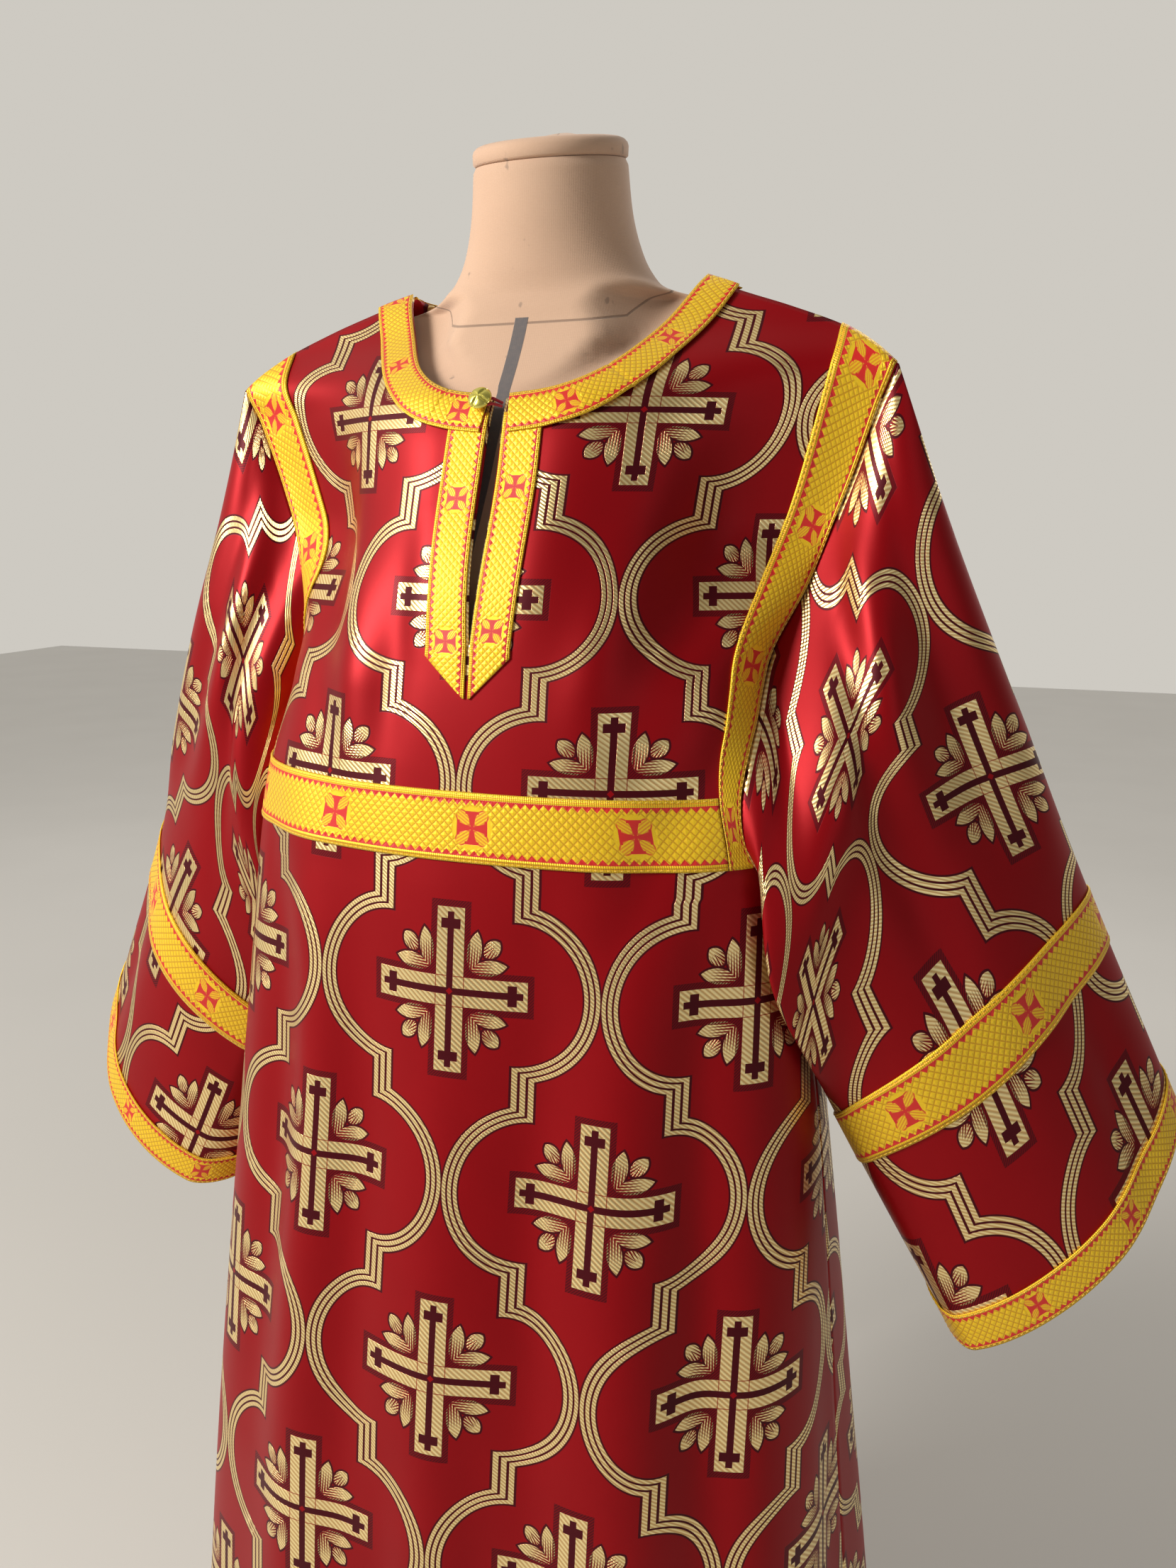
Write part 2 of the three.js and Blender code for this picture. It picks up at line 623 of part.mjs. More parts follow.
// A band lies over one row of the sleeve's cells.
function sleeveBand(lowRow, sign) {
  const grid = sleeveGrid(sign);
  const around = sign > 0 ? grid : mirrored(grid);
  const normals = gridNormals(around, true);
  const rows = [lowRow, lowRow + 1];
  const low = CLOTH / 2 + LIFT;
  const pick = (table) => rows.map((row) => table[row]);
  return solid(wall(pick(around), pick(normals), low, low + GALLOON, true));
}
const ELBOW_ROW = SLEEVE_DOWN.indexOf(ELBOW_END);
const CUFF_ROW = 0;

// ---- trimmings ----------------------------------------------------------
const frontAt = ({ turn, z }) => bodyPoint(turn, z, -1);
const turnAt = (x, z) =>
  THREE.MathUtils.radToDeg(Math.asin(clamp(x / column(BODY, z, 'z', 'half'), -1, 1)));
const evenly = (from, to, steps) => range(steps + 1).map((index) => mix(from, to, index / steps));
// Rows of points between two edges, with the normals of the cloth under them.
function strip(low, high, along, cells, pointOf) {
  return range(cells + 1).map((row) =>
    along.map((share) => {
      const from = low(share);
      const to = high(share);
      const place = {};
      for (const key of Object.keys(from)) place[key] = mix(from[key], to[key], row / cells);
      return pointOf(place);
    }),
  );
}

// A place on the front moved square to an edge by a distance along the surface.
function moveInward(edge, share, distance) {
  const step = 0.01;
  const here = edge(share);
  const origin = frontAt(here);
  const ahead = frontAt(edge(Math.min(share + step, 1)));
  const behind = frontAt(edge(Math.max(share - step, 0)));
  const tangent = ahead.sub(behind).normalize();
  const nudge = 0.4;
  const byTurn = frontAt({ turn: here.turn + nudge, z: here.z }).sub(origin);
  const byHeight = frontAt({ turn: here.turn, z: here.z + nudge }).sub(origin);
  const normal = byTurn.clone().cross(byHeight).normalize();
  const inward = normal.cross(tangent).normalize().negate();
  const target = origin.clone().addScaledVector(inward, distance);
  const place = { ...here };
  for (let round = 0; round < 12; round += 1) {
    const miss = target.clone().sub(frontAt(place));
    const tt = byTurn.lengthSq();
    const th = byTurn.dot(byHeight);
    const hh = byHeight.lengthSq();
    const mt = miss.dot(byTurn);
    const mh = miss.dot(byHeight);
    const scale = nudge / (tt * hh - th * th);
    place.turn += (mt * hh - mh * th) * scale;
    place.z += (mh * tt - mt * th) * scale;
  }
  return place;
}

// The front of the neckline as an edge, from the middle (0) to the shoulder ridge (1).
const neckEdge = (share) => frontPlace(NECK_SHARE * share, 1);
const NECK_TRIM_START = 0.06;
function neckTrim() {
  const inner = (share) => moveInward(neckEdge, share, 0.8);
  const outer = (share) => {
    const place = moveInward(neckEdge, share, NARROW_GALLOON);
    const ridge = { ...ridgePoint(1489) };
    const pull = smooth(0.8, 1, share);
    return { turn: mix(place.turn, ridge.turn, pull), z: mix(place.z, ridge.z, pull) };
  };
  return strip(outer, inner, evenly(NECK_TRIM_START, 0.992, 14), 2, frontAt);
}
const NECK_DROP = 0.92; // of a row of cells, the trimming's width at the back of the neck
// Round the back of the neck the trimming lies below the neckline's edge.
function neckTrimBack() {
  const top = BACK.grid.length - 1;
  const ends = (ACROSS / 2) * NECK_SHARE;
  const low = [{ place: ends + 1.18, drop: 0.02 }, { place: ends + 0.12, drop: 0.72 }];
  const places = range(2 * ends + 1).map((index) => ends - index);
  const edge = places.map((place) => onPanel(BACK, top, ACROSS / 2 + place));
  const hem = places.map((place) => {
    const fromEnd = ends - Math.abs(place);
    const end = low[fromEnd];
    const away = end ? end.place : Math.abs(place) * 1.03;
    const drop = end ? end.drop : NECK_DROP;
    return onPanel(BACK, top - drop, ACROSS / 2 + Math.sign(place) * away);
  });
  return [hem, edge];
}
const SLIT_TRIM_TOP_Z = 1377;
const SLIT_TRIM_CORNER_Z = 1228;
function slitTrim() {
  const point = [1219, 1208, 1200];
  const heights = [...point.reverse(), ...evenly(SLIT_TRIM_CORNER_Z, SLIT_TRIM_TOP_Z, 10)];
  const across = [0, 0.5, 1];
  return heights.map((z) =>
    across.map((share) => {
      const inner = 1.2 + slitHalfWidth(z);
      const full = SLIT_TRIM_CORNER_Z - SLIT_POINT_Z;
      const width = NARROW_GALLOON * clamp((z - SLIT_POINT_Z) / full, 0.02, 1);
      return frontAt({ turn: turnAt(inner + share * width, z), z });
    }),
  );
}

// The armhole trimming runs up the front, over the shoulder ridge and down the back.
// Its columns are those of the panels outside TRIM_SHARE, a little short of the sleeve's seam.
const TRIM_COLUMN = Math.round((TRIM_SHARE * ACROSS) / 2);
const SEAM_MARGIN = 0.27; // of a cell, between the trimming and the seam
const yokeRows = range(YOKE_ROWS).map((index) => SKIRT_ROWS + 1 + index);
function armholeTrim(sign) {
  const middle = ACROSS / 2;
  const outer = middle - SEAM_MARGIN;
  const places = [TRIM_COLUMN, TRIM_COLUMN + 1, TRIM_COLUMN + 2, outer].map(
    (place) => middle + sign * place,
  );
  if (sign < 0) places.reverse();
  const front = yokeRows.map((row) => places.map((place) => onPanel(FRONT, row, place)));
  const back = [...yokeRows].reverse()
    .map((row) => places.map((place) => onPanel(BACK, row, place)));
  return trimOnPanels([...front, ...back], NECK_LIFT);
}
const BAND_MARGIN = 0.06; // of a cell, between the band's ends and the armhole trimmings
function chestBand(panel) {
  const end = TRIM_COLUMN - BAND_MARGIN;
  const inner = range(2 * TRIM_COLUMN - 1).map((index) => index + 1 - TRIM_COLUMN);
  const places = [-end, ...inner, end].map((place) => ACROSS / 2 + place);
  if (panel === BACK) places.reverse();
  const rows = [1, 2, 3].map((row) => SKIRT_ROWS + row);
  return trimOnPanels(rows.map((row) => places.map((place) => onPanel(panel, row, place))));
}

// ---- dress form ---------------------------------------------------------
const NECKLINE_UP = descending(NECKLINE);
function formPoint(angle, z) {
  const half = column(FORM, z, 'z', 'half');
  const side = column(FORM, z, 'z', 'side');
  const isFront = Math.cos(angle) > 0;
  const end = column(FORM, z, 'z', isFront ? 'front' : 'back');
  const x = half * Math.sin(angle);
  let y = side + (end - side) * Math.abs(Math.cos(angle));
  const covered = z < NECKLINE[0].z ? 0 : column(NECKLINE_UP, Math.min(z, 1501), 'z', 'x');
  if (isFront && z < NECK_SIDE.z) {
    const limit = frontAt({ turn: turnAt(Math.abs(x), z), z }).y + FORM_CLEARANCE;
    const under = smooth(covered - 42, covered - 14, Math.abs(x));
    y = mix(y, Math.max(y, limit), z < NECKLINE[0].z ? 1 : under);
  }
  const tilt = NECK_TILT * smooth(1500, FORM[FORM.length - 1].z, z);
  const level = z + (tilt * (y - side)) / Math.abs(end - side);
  return new THREE.Vector3(x, y, level);
}
const FORM_HEIGHTS = FORM.map((row) => row.z);
function lidded(rings) {
  const around = rings[0].length;
  const positions = rings.flat().flatMap((point) => point.toArray());
  const indices = [];
  for (const row of range(rings.length - 1)) {
    for (const step of range(around)) {
      const here = row * around + step;
      const next = row * around + ((step + 1) % around);
      indices.push(here, next, next + around, here, next + around, here + around);
    }
  }
  for (const [row, downward] of [[0, true], [rings.length - 1, false]]) {
    const middle = positions.length / 3;
    const centre = new THREE.Vector3();
    rings[row].forEach((point) => centre.addScaledVector(point, 1 / around));
    positions.push(...centre.toArray());
    for (const step of range(around)) {
      const here = row * around + step;
      const next = row * around + ((step + 1) % around);
      indices.push(...(downward ? [next, here, middle] : [here, next, middle]));
    }
  }
  const geometry = new THREE.BufferGeometry();
  geometry.setAttribute('position', new THREE.Float32BufferAttribute(positions, 3));
  geometry.setIndex(indices);
  return geometry;
}
const turns = (count) => range(count).map((index) => (2 * Math.PI * index) / count);
const formTorso = () =>
  lidded(FORM_HEIGHTS.map((z) => turns(FORM_AROUND).map((angle) => formPoint(angle, z))));
function neckCap() {
  const top = FORM[FORM.length - 1].z;
  const rim = turns(FORM_AROUND).map((angle) => formPoint(angle, top));
  const rise = (height, inset) =>
    rim.map((point) => {
      const radius = Math.hypot(point.x, point.y - 50);
      const scale = (radius - inset) / radius;
      return new THREE.Vector3(point.x * scale, 50 + (point.y - 50) * scale, point.z + height);
    });
  return lidded([
    rise(NECK_CAP.low - top, 0),
    rise(NECK_CAP.shoulder - top, 0),
    rise(NECK_CAP.high - top - 2, 2.5),
    rise(NECK_CAP.high - top, NECK_CAP.inset),
  ]);
}

// ---- stand --------------------------------------------------------------
function turned(profile, segments) {
  const points = profile.map(([radius, height]) => new THREE.Vector2(radius, height));
  const geometry = new THREE.LatheGeometry(points, segments);
  geometry.deleteAttribute('normal');
  geometry.deleteAttribute('uv');
  const upright = mergeVertices(geometry);
  return upright.rotateX(Math.PI / 2);
}
const standBase = () =>
  turned([
    [0, 0], [BASE.radius - 3, 0], [BASE.radius, 3], [BASE.radius - 4, BASE.height],
    [BASE.hub + 14, BASE.height + 2], [BASE.hub, BASE.height + 6], [BASE.hub - 10, BASE.hubHeight],
    [0, BASE.hubHeight],
  ], 40);
const standPole = () =>
  turned([
    [0, BASE.hubHeight + SEAM_GAP], [POLE.radius, BASE.hubHeight + SEAM_GAP],
    [POLE.radius, FORM[0].z - SEAM_GAP], [0, FORM[0].z - SEAM_GAP],
  ], 20);

// ---- button and loop ----------------------------------------------------
// A frame on the front's surface: its point, its outward normal and the way up.
function frameOnFront(x, z) {
  const origin = frontAt({ turn: turnAt(x, z), z });
  const right = frontAt({ turn: turnAt(x + 1, z), z }).sub(origin).normalize();
  const above = frontAt({ turn: turnAt(x, z + 1), z: z + 1 }).sub(origin).normalize();
  const out = right.clone().cross(above).normalize();
  const up = out.clone().cross(right).normalize();
  return { origin, right, up, out };
}
const TRIM_TOP = CLOTH / 2 + NECK_LIFT + GALLOON;
function button() {
  const { radius, shank, rise, height, facets } = BUTTON;
  const geometry = turned([
    [0, 0], [shank, 0], [shank, rise], [radius * 0.8, rise], [radius, rise + 0.25 * height],
    [radius * 0.94, rise + 0.55 * height], [radius * 0.6, rise + 0.9 * height], [0, rise + height],
  ], facets);
  const { origin, right, up, out } = frameOnFront(BUTTON.x, BUTTON.z);
  const place = new THREE.Matrix4().makeBasis(right, up, out);
  origin.addScaledVector(out, TRIM_TOP + SEAM_GAP);
  place.setPosition(origin);
  return geometry.applyMatrix4(place);
}
// One cord, doubled: out of the slit's left edge, round the button's shank and back.
function loopCord() {
  const { origin, right, up, out } = frameOnFront(BUTTON.x, BUTTON.z);
  const bend = BUTTON.shank + LOOP_CORD + SEAM_GAP + 0.2;
  const level = TRIM_TOP + LOOP_CORD + SEAM_GAP + 0.1;
  const route = [
    { x: 12.6, y: 1.5, rise: 0.6 }, { x: 11, y: 1.6, rise: 3 }, { x: 7, y: 2.4, rise: level },
    { x: 3, y: 3.2, rise: level }, { x: 0, y: bend, rise: level }, { x: -bend * 0.8, y: 2.1, rise: level },
    { x: -bend, y: 0, rise: level }, { x: -bend * 0.8, y: -2.1, rise: level },
    { x: 0, y: -bend, rise: level }, { x: 3, y: -3.2, rise: level },
    { x: 7, y: -2.4, rise: level }, { x: 11, y: -1.6, rise: 3 }, { x: 12.6, y: -1.5, rise: 0.6 },
  ];
  const path = new THREE.CatmullRomCurve3(route.map((spot) =>
    origin.clone()
      .addScaledVector(right, spot.x)
      .addScaledVector(up, spot.y)
      .addScaledVector(out, spot.rise)));
  const section = new THREE.Shape();
  const sides = 8;
  for (const angle of turns(sides)) {
    const x = LOOP_CORD * Math.cos(angle);
    const y = LOOP_CORD * Math.sin(angle);
    if (angle === 0) section.moveTo(x, y);
    else section.lineTo(x, y);
  }
  const tube = new THREE.ExtrudeGeometry(section, { steps: 34, extrudePath: path, curveSegments: 1 });
  tube.deleteAttribute('normal');
  tube.deleteAttribute('uv');
  return mergeVertices(tube, 1e-4);
}

// ---- the object ---------------------------------------------------------
const gown = new THREE.Group();
const stand = new THREE.Group();
function add(group, name, geometry, colour, roughness, metalness = 0) {
  const material = new THREE.MeshStandardMaterial({ color: colour, roughness, metalness });
  const mesh = new THREE.Mesh(geometry, material);
  mesh.name = name;
  group.add(mesh);
  return mesh;
}
const addCloth = (name, geometry) => add(gown, name, geometry, COLOURS.brocade, 0.5);
const addTrim = (name, geometry) => add(gown, name, geometry, COLOURS.galloon, 0.4, 0.3);
addCloth('front_panel', frontPanel());
addCloth('back_panel', backPanel());
addCloth('sleeve_left', clothWall(sleeveGrid(1), true));
addCloth('sleeve_right', clothWall(mirrored(sleeveGrid(-1)), true));
addTrim('neck_trim_left', trimWall(neckTrim(), NECK_LIFT));
addTrim('neck_trim_right', trimWall(mirrored(neckTrim()), NECK_LIFT));
addTrim('neck_trim_back', trimOnPanels(neckTrimBack(), 1.6 * NECK_LIFT));
addTrim('slit_trim_left', trimWall(slitTrim(), LIFT));
addTrim('slit_trim_right', trimWall(mirrored(slitTrim()), LIFT));
addTrim('armhole_trim_left', armholeTrim(1));
addTrim('armhole_trim_right', armholeTrim(-1));
addTrim('chest_band_front', chestBand(FRONT));
addTrim('chest_band_back', chestBand(BACK));
addTrim('elbow_band_left', sleeveBand(ELBOW_ROW, 1));
addTrim('elbow_band_right', sleeveBand(ELBOW_ROW, -1));
addTrim('cuff_band_left', sleeveBand(CUFF_ROW, 1));
addTrim('cuff_band_right', sleeveBand(CUFF_ROW, -1));
add(gown, 'button', button(), COLOURS.metal, 0.35, 0.8);
add(gown, 'button_loop', loopCord(), COLOURS.cord, 0.6);
add(stand, 'form_torso', formTorso(), COLOURS.canvas, 0.85);
add(stand, 'form_neck_cap', neckCap(), COLOURS.canvas, 0.85);
add(stand, 'form_pole', standPole(), COLOURS.stand, 0.4, 0.7).position.y = POLE.y;
add(stand, 'form_base', standBase(), COLOURS.stand, 0.5, 0.6).position.y = POLE.y;

const sticharion = new THREE.Group();
sticharion.add(gown, stand);
export default sticharion;
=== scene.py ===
"""Looks of the sticharion on its dress form. Shapes are worked out in millimetres from the
same tables as the solids and made in metres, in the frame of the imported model."""
import math

import bmesh
import bpy
import numpy as np
from mathutils import Matrix, Vector


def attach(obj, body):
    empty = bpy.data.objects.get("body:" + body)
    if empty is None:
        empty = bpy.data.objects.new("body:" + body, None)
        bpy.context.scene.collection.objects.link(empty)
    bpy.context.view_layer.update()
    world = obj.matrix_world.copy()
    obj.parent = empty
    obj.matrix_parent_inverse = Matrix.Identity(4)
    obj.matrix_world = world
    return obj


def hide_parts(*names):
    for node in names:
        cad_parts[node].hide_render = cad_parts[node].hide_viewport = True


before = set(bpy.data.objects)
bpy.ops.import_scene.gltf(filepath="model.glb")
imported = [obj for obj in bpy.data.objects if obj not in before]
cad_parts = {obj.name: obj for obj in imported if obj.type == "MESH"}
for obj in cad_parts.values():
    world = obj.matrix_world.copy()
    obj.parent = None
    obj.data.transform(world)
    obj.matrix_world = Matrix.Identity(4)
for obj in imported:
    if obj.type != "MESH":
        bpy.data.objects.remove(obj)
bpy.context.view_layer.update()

MM = 0.001

# ---- camera ---------------------------------------------------------------
CAMERA_AT = (0.3534, -0.8681, 1.3246)
CAMERA_AXES = (  # right, up and forward
    (0.94326, 0.33205, -0.00122),
    (-0.07259, 0.20981, 0.97504),
    (-0.32402, 0.91963, -0.22201),
)
SENSOR = 36.0
FOCAL_SHARE = 1661 / 2212  # focal length over the picture's height


def add_camera():
    data = bpy.data.cameras.new("camera")
    data.sensor_fit = "VERTICAL"
    data.sensor_height = SENSOR
    data.lens = SENSOR * FOCAL_SHARE
    data.clip_end = 60
    camera = bpy.data.objects.new("camera", data)
    bpy.context.scene.collection.objects.link(camera)
    right, up, forward = CAMERA_AXES
    rows = [[right[i], up[i], -forward[i], CAMERA_AT[i]] for i in range(3)]
    camera.matrix_world = Matrix(rows + [[0, 0, 0, 1]])
    bpy.context.scene.camera = camera


add_camera()

# ---- the gown's sizes, in millimetres ---------------------------------------
CLOTH = 1.6
GALLOON = 1.2
LIFT = 0.35
OVER_LIFT = 1.8
WIDE, NARROW = 50, 30
HEM_Z, UNDERARM_Z, SHOULDER_Z = 160, 1062, 1430
NECK_SIDE, NECKLINE_Z = (124, 1501), 1408
SLIT_END_Z, SLIT_POINT_Z = 1235, 1198
BAND_LOW, BAND_HIGH = 1084, 1134


def table(names, *rows):
    return {name: np.array([row[i] for row in rows], float) for i, name in enumerate(names)}


BODY = table(
    ("z", "half", "front", "side", "back"),
    (100, 316, -264, -22, 264), (160, 312, -258, -24, 258), (450, 287, -226, -34, 236),
    (600, 273, -209, -36, 222), (750, 259, -186, -36, 206), (900, 243, -158, -36, 184),
    (1050, 221, -141, -36, 162), (1130, 205, -131, -34, 153), (1215, 190, -119, 2, 150),
    (1277, 215, -106, 22, 151), (1351, 243, -76, 32, 153), (1405, 262, -53, 30, 151),
    (1430, 273, -26, 27, 148), (1460, 283, 12, 47, 144), (1489, 290, 41, 62, 140),
    (1501, 292, 57, 77, 138),
)
SWING_OUT, SWING_BACK = 20, 44
RIDGE = table(
    ("z", "x"), (1430, 270), (1445, 252), (1460, 228), (1475, 190), (1489, 150), (1501, 124))
NECKLINE = table(("x", "z"), (0, NECKLINE_Z),(45, 1414), (75, 1430), (100, 1459), (124, 1501))
ARMHOLE = table(
    ("z", "front", "trim", "back"),
    (1062, 90, 60, 90), (1075, 75, 60, 74), (1095, 68, 60, 66), (1129, 69, 60, 64),
    (1160, 76, 62, 66), (1185, 84, 65, 68), (1215, 90, 66, 70), (1277, 90, 59, 75),
    (1351, 90, 57, 80), (1405, 90, 56, 86), (1430, 90, 55, 90),
)
RAILS = np.array([0, 0.17, 0.42, 0.53, 0.68, 0.86])  # crest, ridge, fold, inner, rear, blade
LEFT_SLEEVE = (
    (0.26, ((330, 42, 1268), (279, -28, 1212), (218, -104, 1014),
            (247, -34, 1004), (240, 72, 1050), (268, 92, 1200))),
    (0.5, ((392, 62, 1122), (292, -44, 1078), (243, -76, 945),
           (256, -15, 925), (262, 85, 955), (340, 118, 1062))),
    (0.67, ((428, 80, 1042), (350, -34, 970), (266, -42, 890),
            (258, 20, 864), (288, 105, 885), (378, 142, 1000))),
    (1, ((509, 81, 869), (470, 1, 783), (374, -25, 699),
         (343, 21, 713), (367, 84, 776), (464, 131, 877))),
)
RIGHT_SLEEVE = (
    (0.26, ((330, 42, 1268), (283, -8, 1200), (254, -16, 1028),
            (264, 36, 1004), (258, 98, 1046), (272, 105, 1200))),
    (0.5, ((392, 62, 1122), (318, -6, 1060), (262, 0, 935),
           (256, 45, 925), (270, 100, 955), (340, 130, 1062))),
    (0.67, ((430, 84, 1030), (372, 2, 960), (290, 10, 870),
            (268, 58, 858), (296, 120, 885), (378, 152, 990))),
    (1, ((509, 85, 842), (474, 14, 752), (378, 0, 678),
         (330, 40, 684), (356, 100, 752), (458, 140, 850))),
)
ARMHOLE_RAILS = table(
    ("share", "z"), (0, 1430), (0.17, 1385), (0.3, 1225), (0.42, 1092), (0.53, 1062),
    (0.68, 1120), (0.86, 1320), (1, 1430))
INNER_RAIL = 0.53
PUFF_SIZE, PUFF_AT, PUFF_AXIS, PUFF_DROOP = 9, 0.05, 20, 0.3
SLEEVE_LENGTH = 640
ELBOW_SHARE = 0.67
FLUTES = (  # degrees from the front's middle, depth and width at the hem
    (24, 5, 11), (58, 9, 10), (84, -10, 8), (102, 14, 9), (121, -13, 9), (140, 11, 9),
    (160, -8, 9))
FLUTE_TOP_Z = 1010
NECK_SHARE = 0.5
BACK_NECK_DEPTH, BACK_NECK_DROP = 76, 9
YOKE_ROWS, SKIRT_ROWS, ACROSS = 14, 9, 28
LEVEL_ROWS = (UNDERARM_Z, BAND_LOW, (BAND_LOW + BAND_HIGH) / 2, BAND_HIGH)
TRIM_SHARE = 11 / 14
TRIM_COLUMN = 11
SEAM_MARGIN, BAND_MARGIN = 0.1, 0.06
LAST_ROW = SKIRT_ROWS + YOKE_ROWS

FORM = table(
    ("z", "half", "front", "side", "back"),
    (822, 150, -88, 8, 104), (836, 158, -95, 8, 111), (920, 160, -98, 8, 114),
    (1010, 140, -84, 8, 100), (1090, 132, -78, 10, 98), (1180, 148, -86, 14, 110),
    (1270, 168, -92, 22, 124), (1340, 177, -70, 34, 130), (1395, 190, -46, 40, 124),
    (1430, 194, -26, 46, 112), (1450, 190, -16, 50, 104), (1466, 178, -10, 54, 100),
    (1475, 160, -8, 57, 100), (1481, 138, -6, 58, 104), (1487, 114, -4, 57, 108),
    (1494, 92, -4, 58, 111), (1503, 81, -5, 60, 120), (1520, 71, -6, 58, 120),
    (1548, 63, -8, 54, 115), (1587, 59, -8, 51, 110),
)
FORM_CLEARANCE = 15
NECK_TILT = 11


# ---- small helpers --------------------------------------------------------
def smooth(low, high, value):
    share = np.clip((value - low) / (high - low), 0, 1)
    return share * share * (3 - 2 * share)


def mix(a, b, share):
    return a + (b - a) * share


def curve(ends, slopes, step, share):
    """A smooth curve between two values with given slopes, at a share of the step."""
    square, cube = share**2, share**3
    return (ends[0] * (2 * cube - 3 * square + 1) + ends[1] * (3 * square - 2 * cube)
            + slopes[0] * step * (cube - 2 * square + share)
            + slopes[1] * step * (cube - square))


def column(rows, key, name, place):
    """Value of a table's column at places between its rows, on a smooth curve."""
    keys, values = rows[key], rows[name]
    place = np.asarray(place, float)
    slopes = np.empty(len(keys))
    for i in range(len(keys)):
        low, high = max(i - 1, 0), min(i + 1, len(keys) - 1)
        slopes[i] = (values[high] - values[low]) / (keys[high] - keys[low])
    row = np.searchsorted(keys[1:-1], place, side="left")
    step = keys[row + 1] - keys[row]
    share = np.clip((place - keys[row]) / step, 0, 1)
    return curve((values[row], values[row + 1]), (slopes[row], slopes[row + 1]), step, share)


def body(name, z):
    return column(BODY, "z", name, z)


def unit(vectors):
    length = np.linalg.norm(vectors, axis=-1, keepdims=True)
    return vectors / np.maximum(length, 1e-9)


def lengths_along(points, axis=0):
    """Length from the start of a line of points, or of each line of a grid, to each point."""
    steps = np.linalg.norm(np.diff(points, axis=axis), axis=-1)
    return np.concatenate([np.zeros_like(steps.take([0], axis)), np.cumsum(steps, axis)], axis)


def between(grid, row, place):
    """Value of a grid at places between its rows and columns."""
    low_r = np.minimum(row.astype(int), grid.shape[0] - 2)
    low_c = np.minimum(place.astype(int), grid.shape[1] - 2)
    share_r, share_c = row - low_r, place - low_c
    top = mix(grid[low_r, low_c], grid[low_r, low_c + 1], share_c)
    bottom = mix(grid[low_r + 1, low_c], grid[low_r + 1, low_c + 1], share_c)
    return mix(top, bottom, share_r)


# ---- the gown's surface ------------------------------------------------------
def swing_at(z):
    return smooth(940, 1090, z) * (1 - smooth(1195, 1290, z))


def body_point(turn, z, facing):
    turn, z = np.broadcast_arrays(np.asarray(turn, float), np.asarray(z, float))
    swing = np.where(turn < 0, swing_at(z), 0)
    half = body("half", z) + SWING_OUT * swing
    side = body("side", z) + SWING_BACK * swing
    middle = body("front" if facing < 0 else "back", z)
    across = np.sin(np.radians(turn))
    share = np.minimum(np.abs(across), 1)
    oval = 1 - np.maximum(1 - share**2.35, 0) ** (1 / 2.35)
    high = smooth(1200, 1330, z) if facing < 0 else 0
    depth = mix(oval, smooth(0.17, 1.02, share), high)
    x, y = half * across, mix(middle, side, depth)
    angle = np.abs(turn) if facing < 0 else 180 - np.abs(turn)
    fall = smooth(0, 1, (FLUTE_TOP_Z - z) / (FLUTE_TOP_Z - HEM_Z))
    push = sum(deep * np.exp(-(((angle - at) / wide) ** 2)) for at, deep, wide in FLUTES)
    out = unit(np.stack([x / half, (y - side) / np.abs(middle - side)], -1))
    return np.stack([x + out[..., 0] * push * fall, y + out[..., 1] * push * fall, z], -1)


def turn_at(x, z):
    return np.degrees(np.arcsin(np.clip(x / body("half", z), -1, 1)))


def ridge_place(z):
    x = column(RIDGE, "z", "x", z)
    return turn_at(x, z), z


def yoke_height(up, top):
    row = up * YOKE_ROWS
    level = np.interp(row, range(4), LEVEL_ROWS)
    return np.where(row >= 3, mix(BAND_HIGH, top, (row - 3) / (YOKE_ROWS - 3)), level)


def yoke_up(z):
    upper = mix(3, YOKE_ROWS, (z - BAND_HIGH) / (SHOULDER_Z - BAND_HIGH)) / YOKE_ROWS
    lower = np.interp(z, LEVEL_ROWS, range(4)) / YOKE_ROWS
    return np.where(z >= BAND_HIGH, upper, lower)


def turn_across(turns, width, heights, sign, facing):
    """For each height, the turn that lies a width nearer the middle along the ring."""
    steps = np.arange(0, 60, 0.25)
    places = turns[:, None] - steps
    points = body_point(sign * places, np.repeat(heights[:, None], len(steps), 1), facing)
    along = lengths_along(points, 1)
    return np.array([np.interp(width, along[i], places[i]) for i in range(len(turns))])


TRIM_HEIGHTS = np.linspace(UNDERARM_Z, SHOULDER_Z, 120)
BACK_EDGE = column(ARMHOLE, "z", "back", TRIM_HEIGHTS)
RIGHT_TRIM = turn_across(np.full(120, 90.0), WIDE, TRIM_HEIGHTS, -1, -1)
BACK_TRIM = {sign: turn_across(BACK_EDGE, WIDE, TRIM_HEIGHTS, sign, 1) for sign in (-1, 1)}


def by_sign(sign, left, right):
    return np.where(sign > 0, left, right)


def fit_to_trim(size, up, plain, wanted):
    tent = np.where(size < TRIM_SHARE, size / TRIM_SHARE, (1 - size) / (1 - TRIM_SHARE))
    fade = smooth(0, 1 / YOKE_ROWS, up) * (1 - smooth(0.9, 0.995, up))
    return tent * fade * (wanted - plain)


def front_top(size):
    share = (size - NECK_SHARE) / (1 - NECK_SHARE)
    ridge_z = mix(NECK_SIDE[1], SHOULDER_Z, np.clip(share, 0, 1))
    ridge_x = column(RIDGE, "z", "x", ridge_z)
    neck_x = NECK_SIDE[0] * np.clip(size / NECK_SHARE, 0, 1)
    neck_z = column(NECKLINE, "x", "z", neck_x)
    x = np.where(size >= NECK_SHARE, ridge_x, neck_x)
    z = np.where(size >= NECK_SHARE, ridge_z, neck_z)
    return x, turn_at(x, z), z


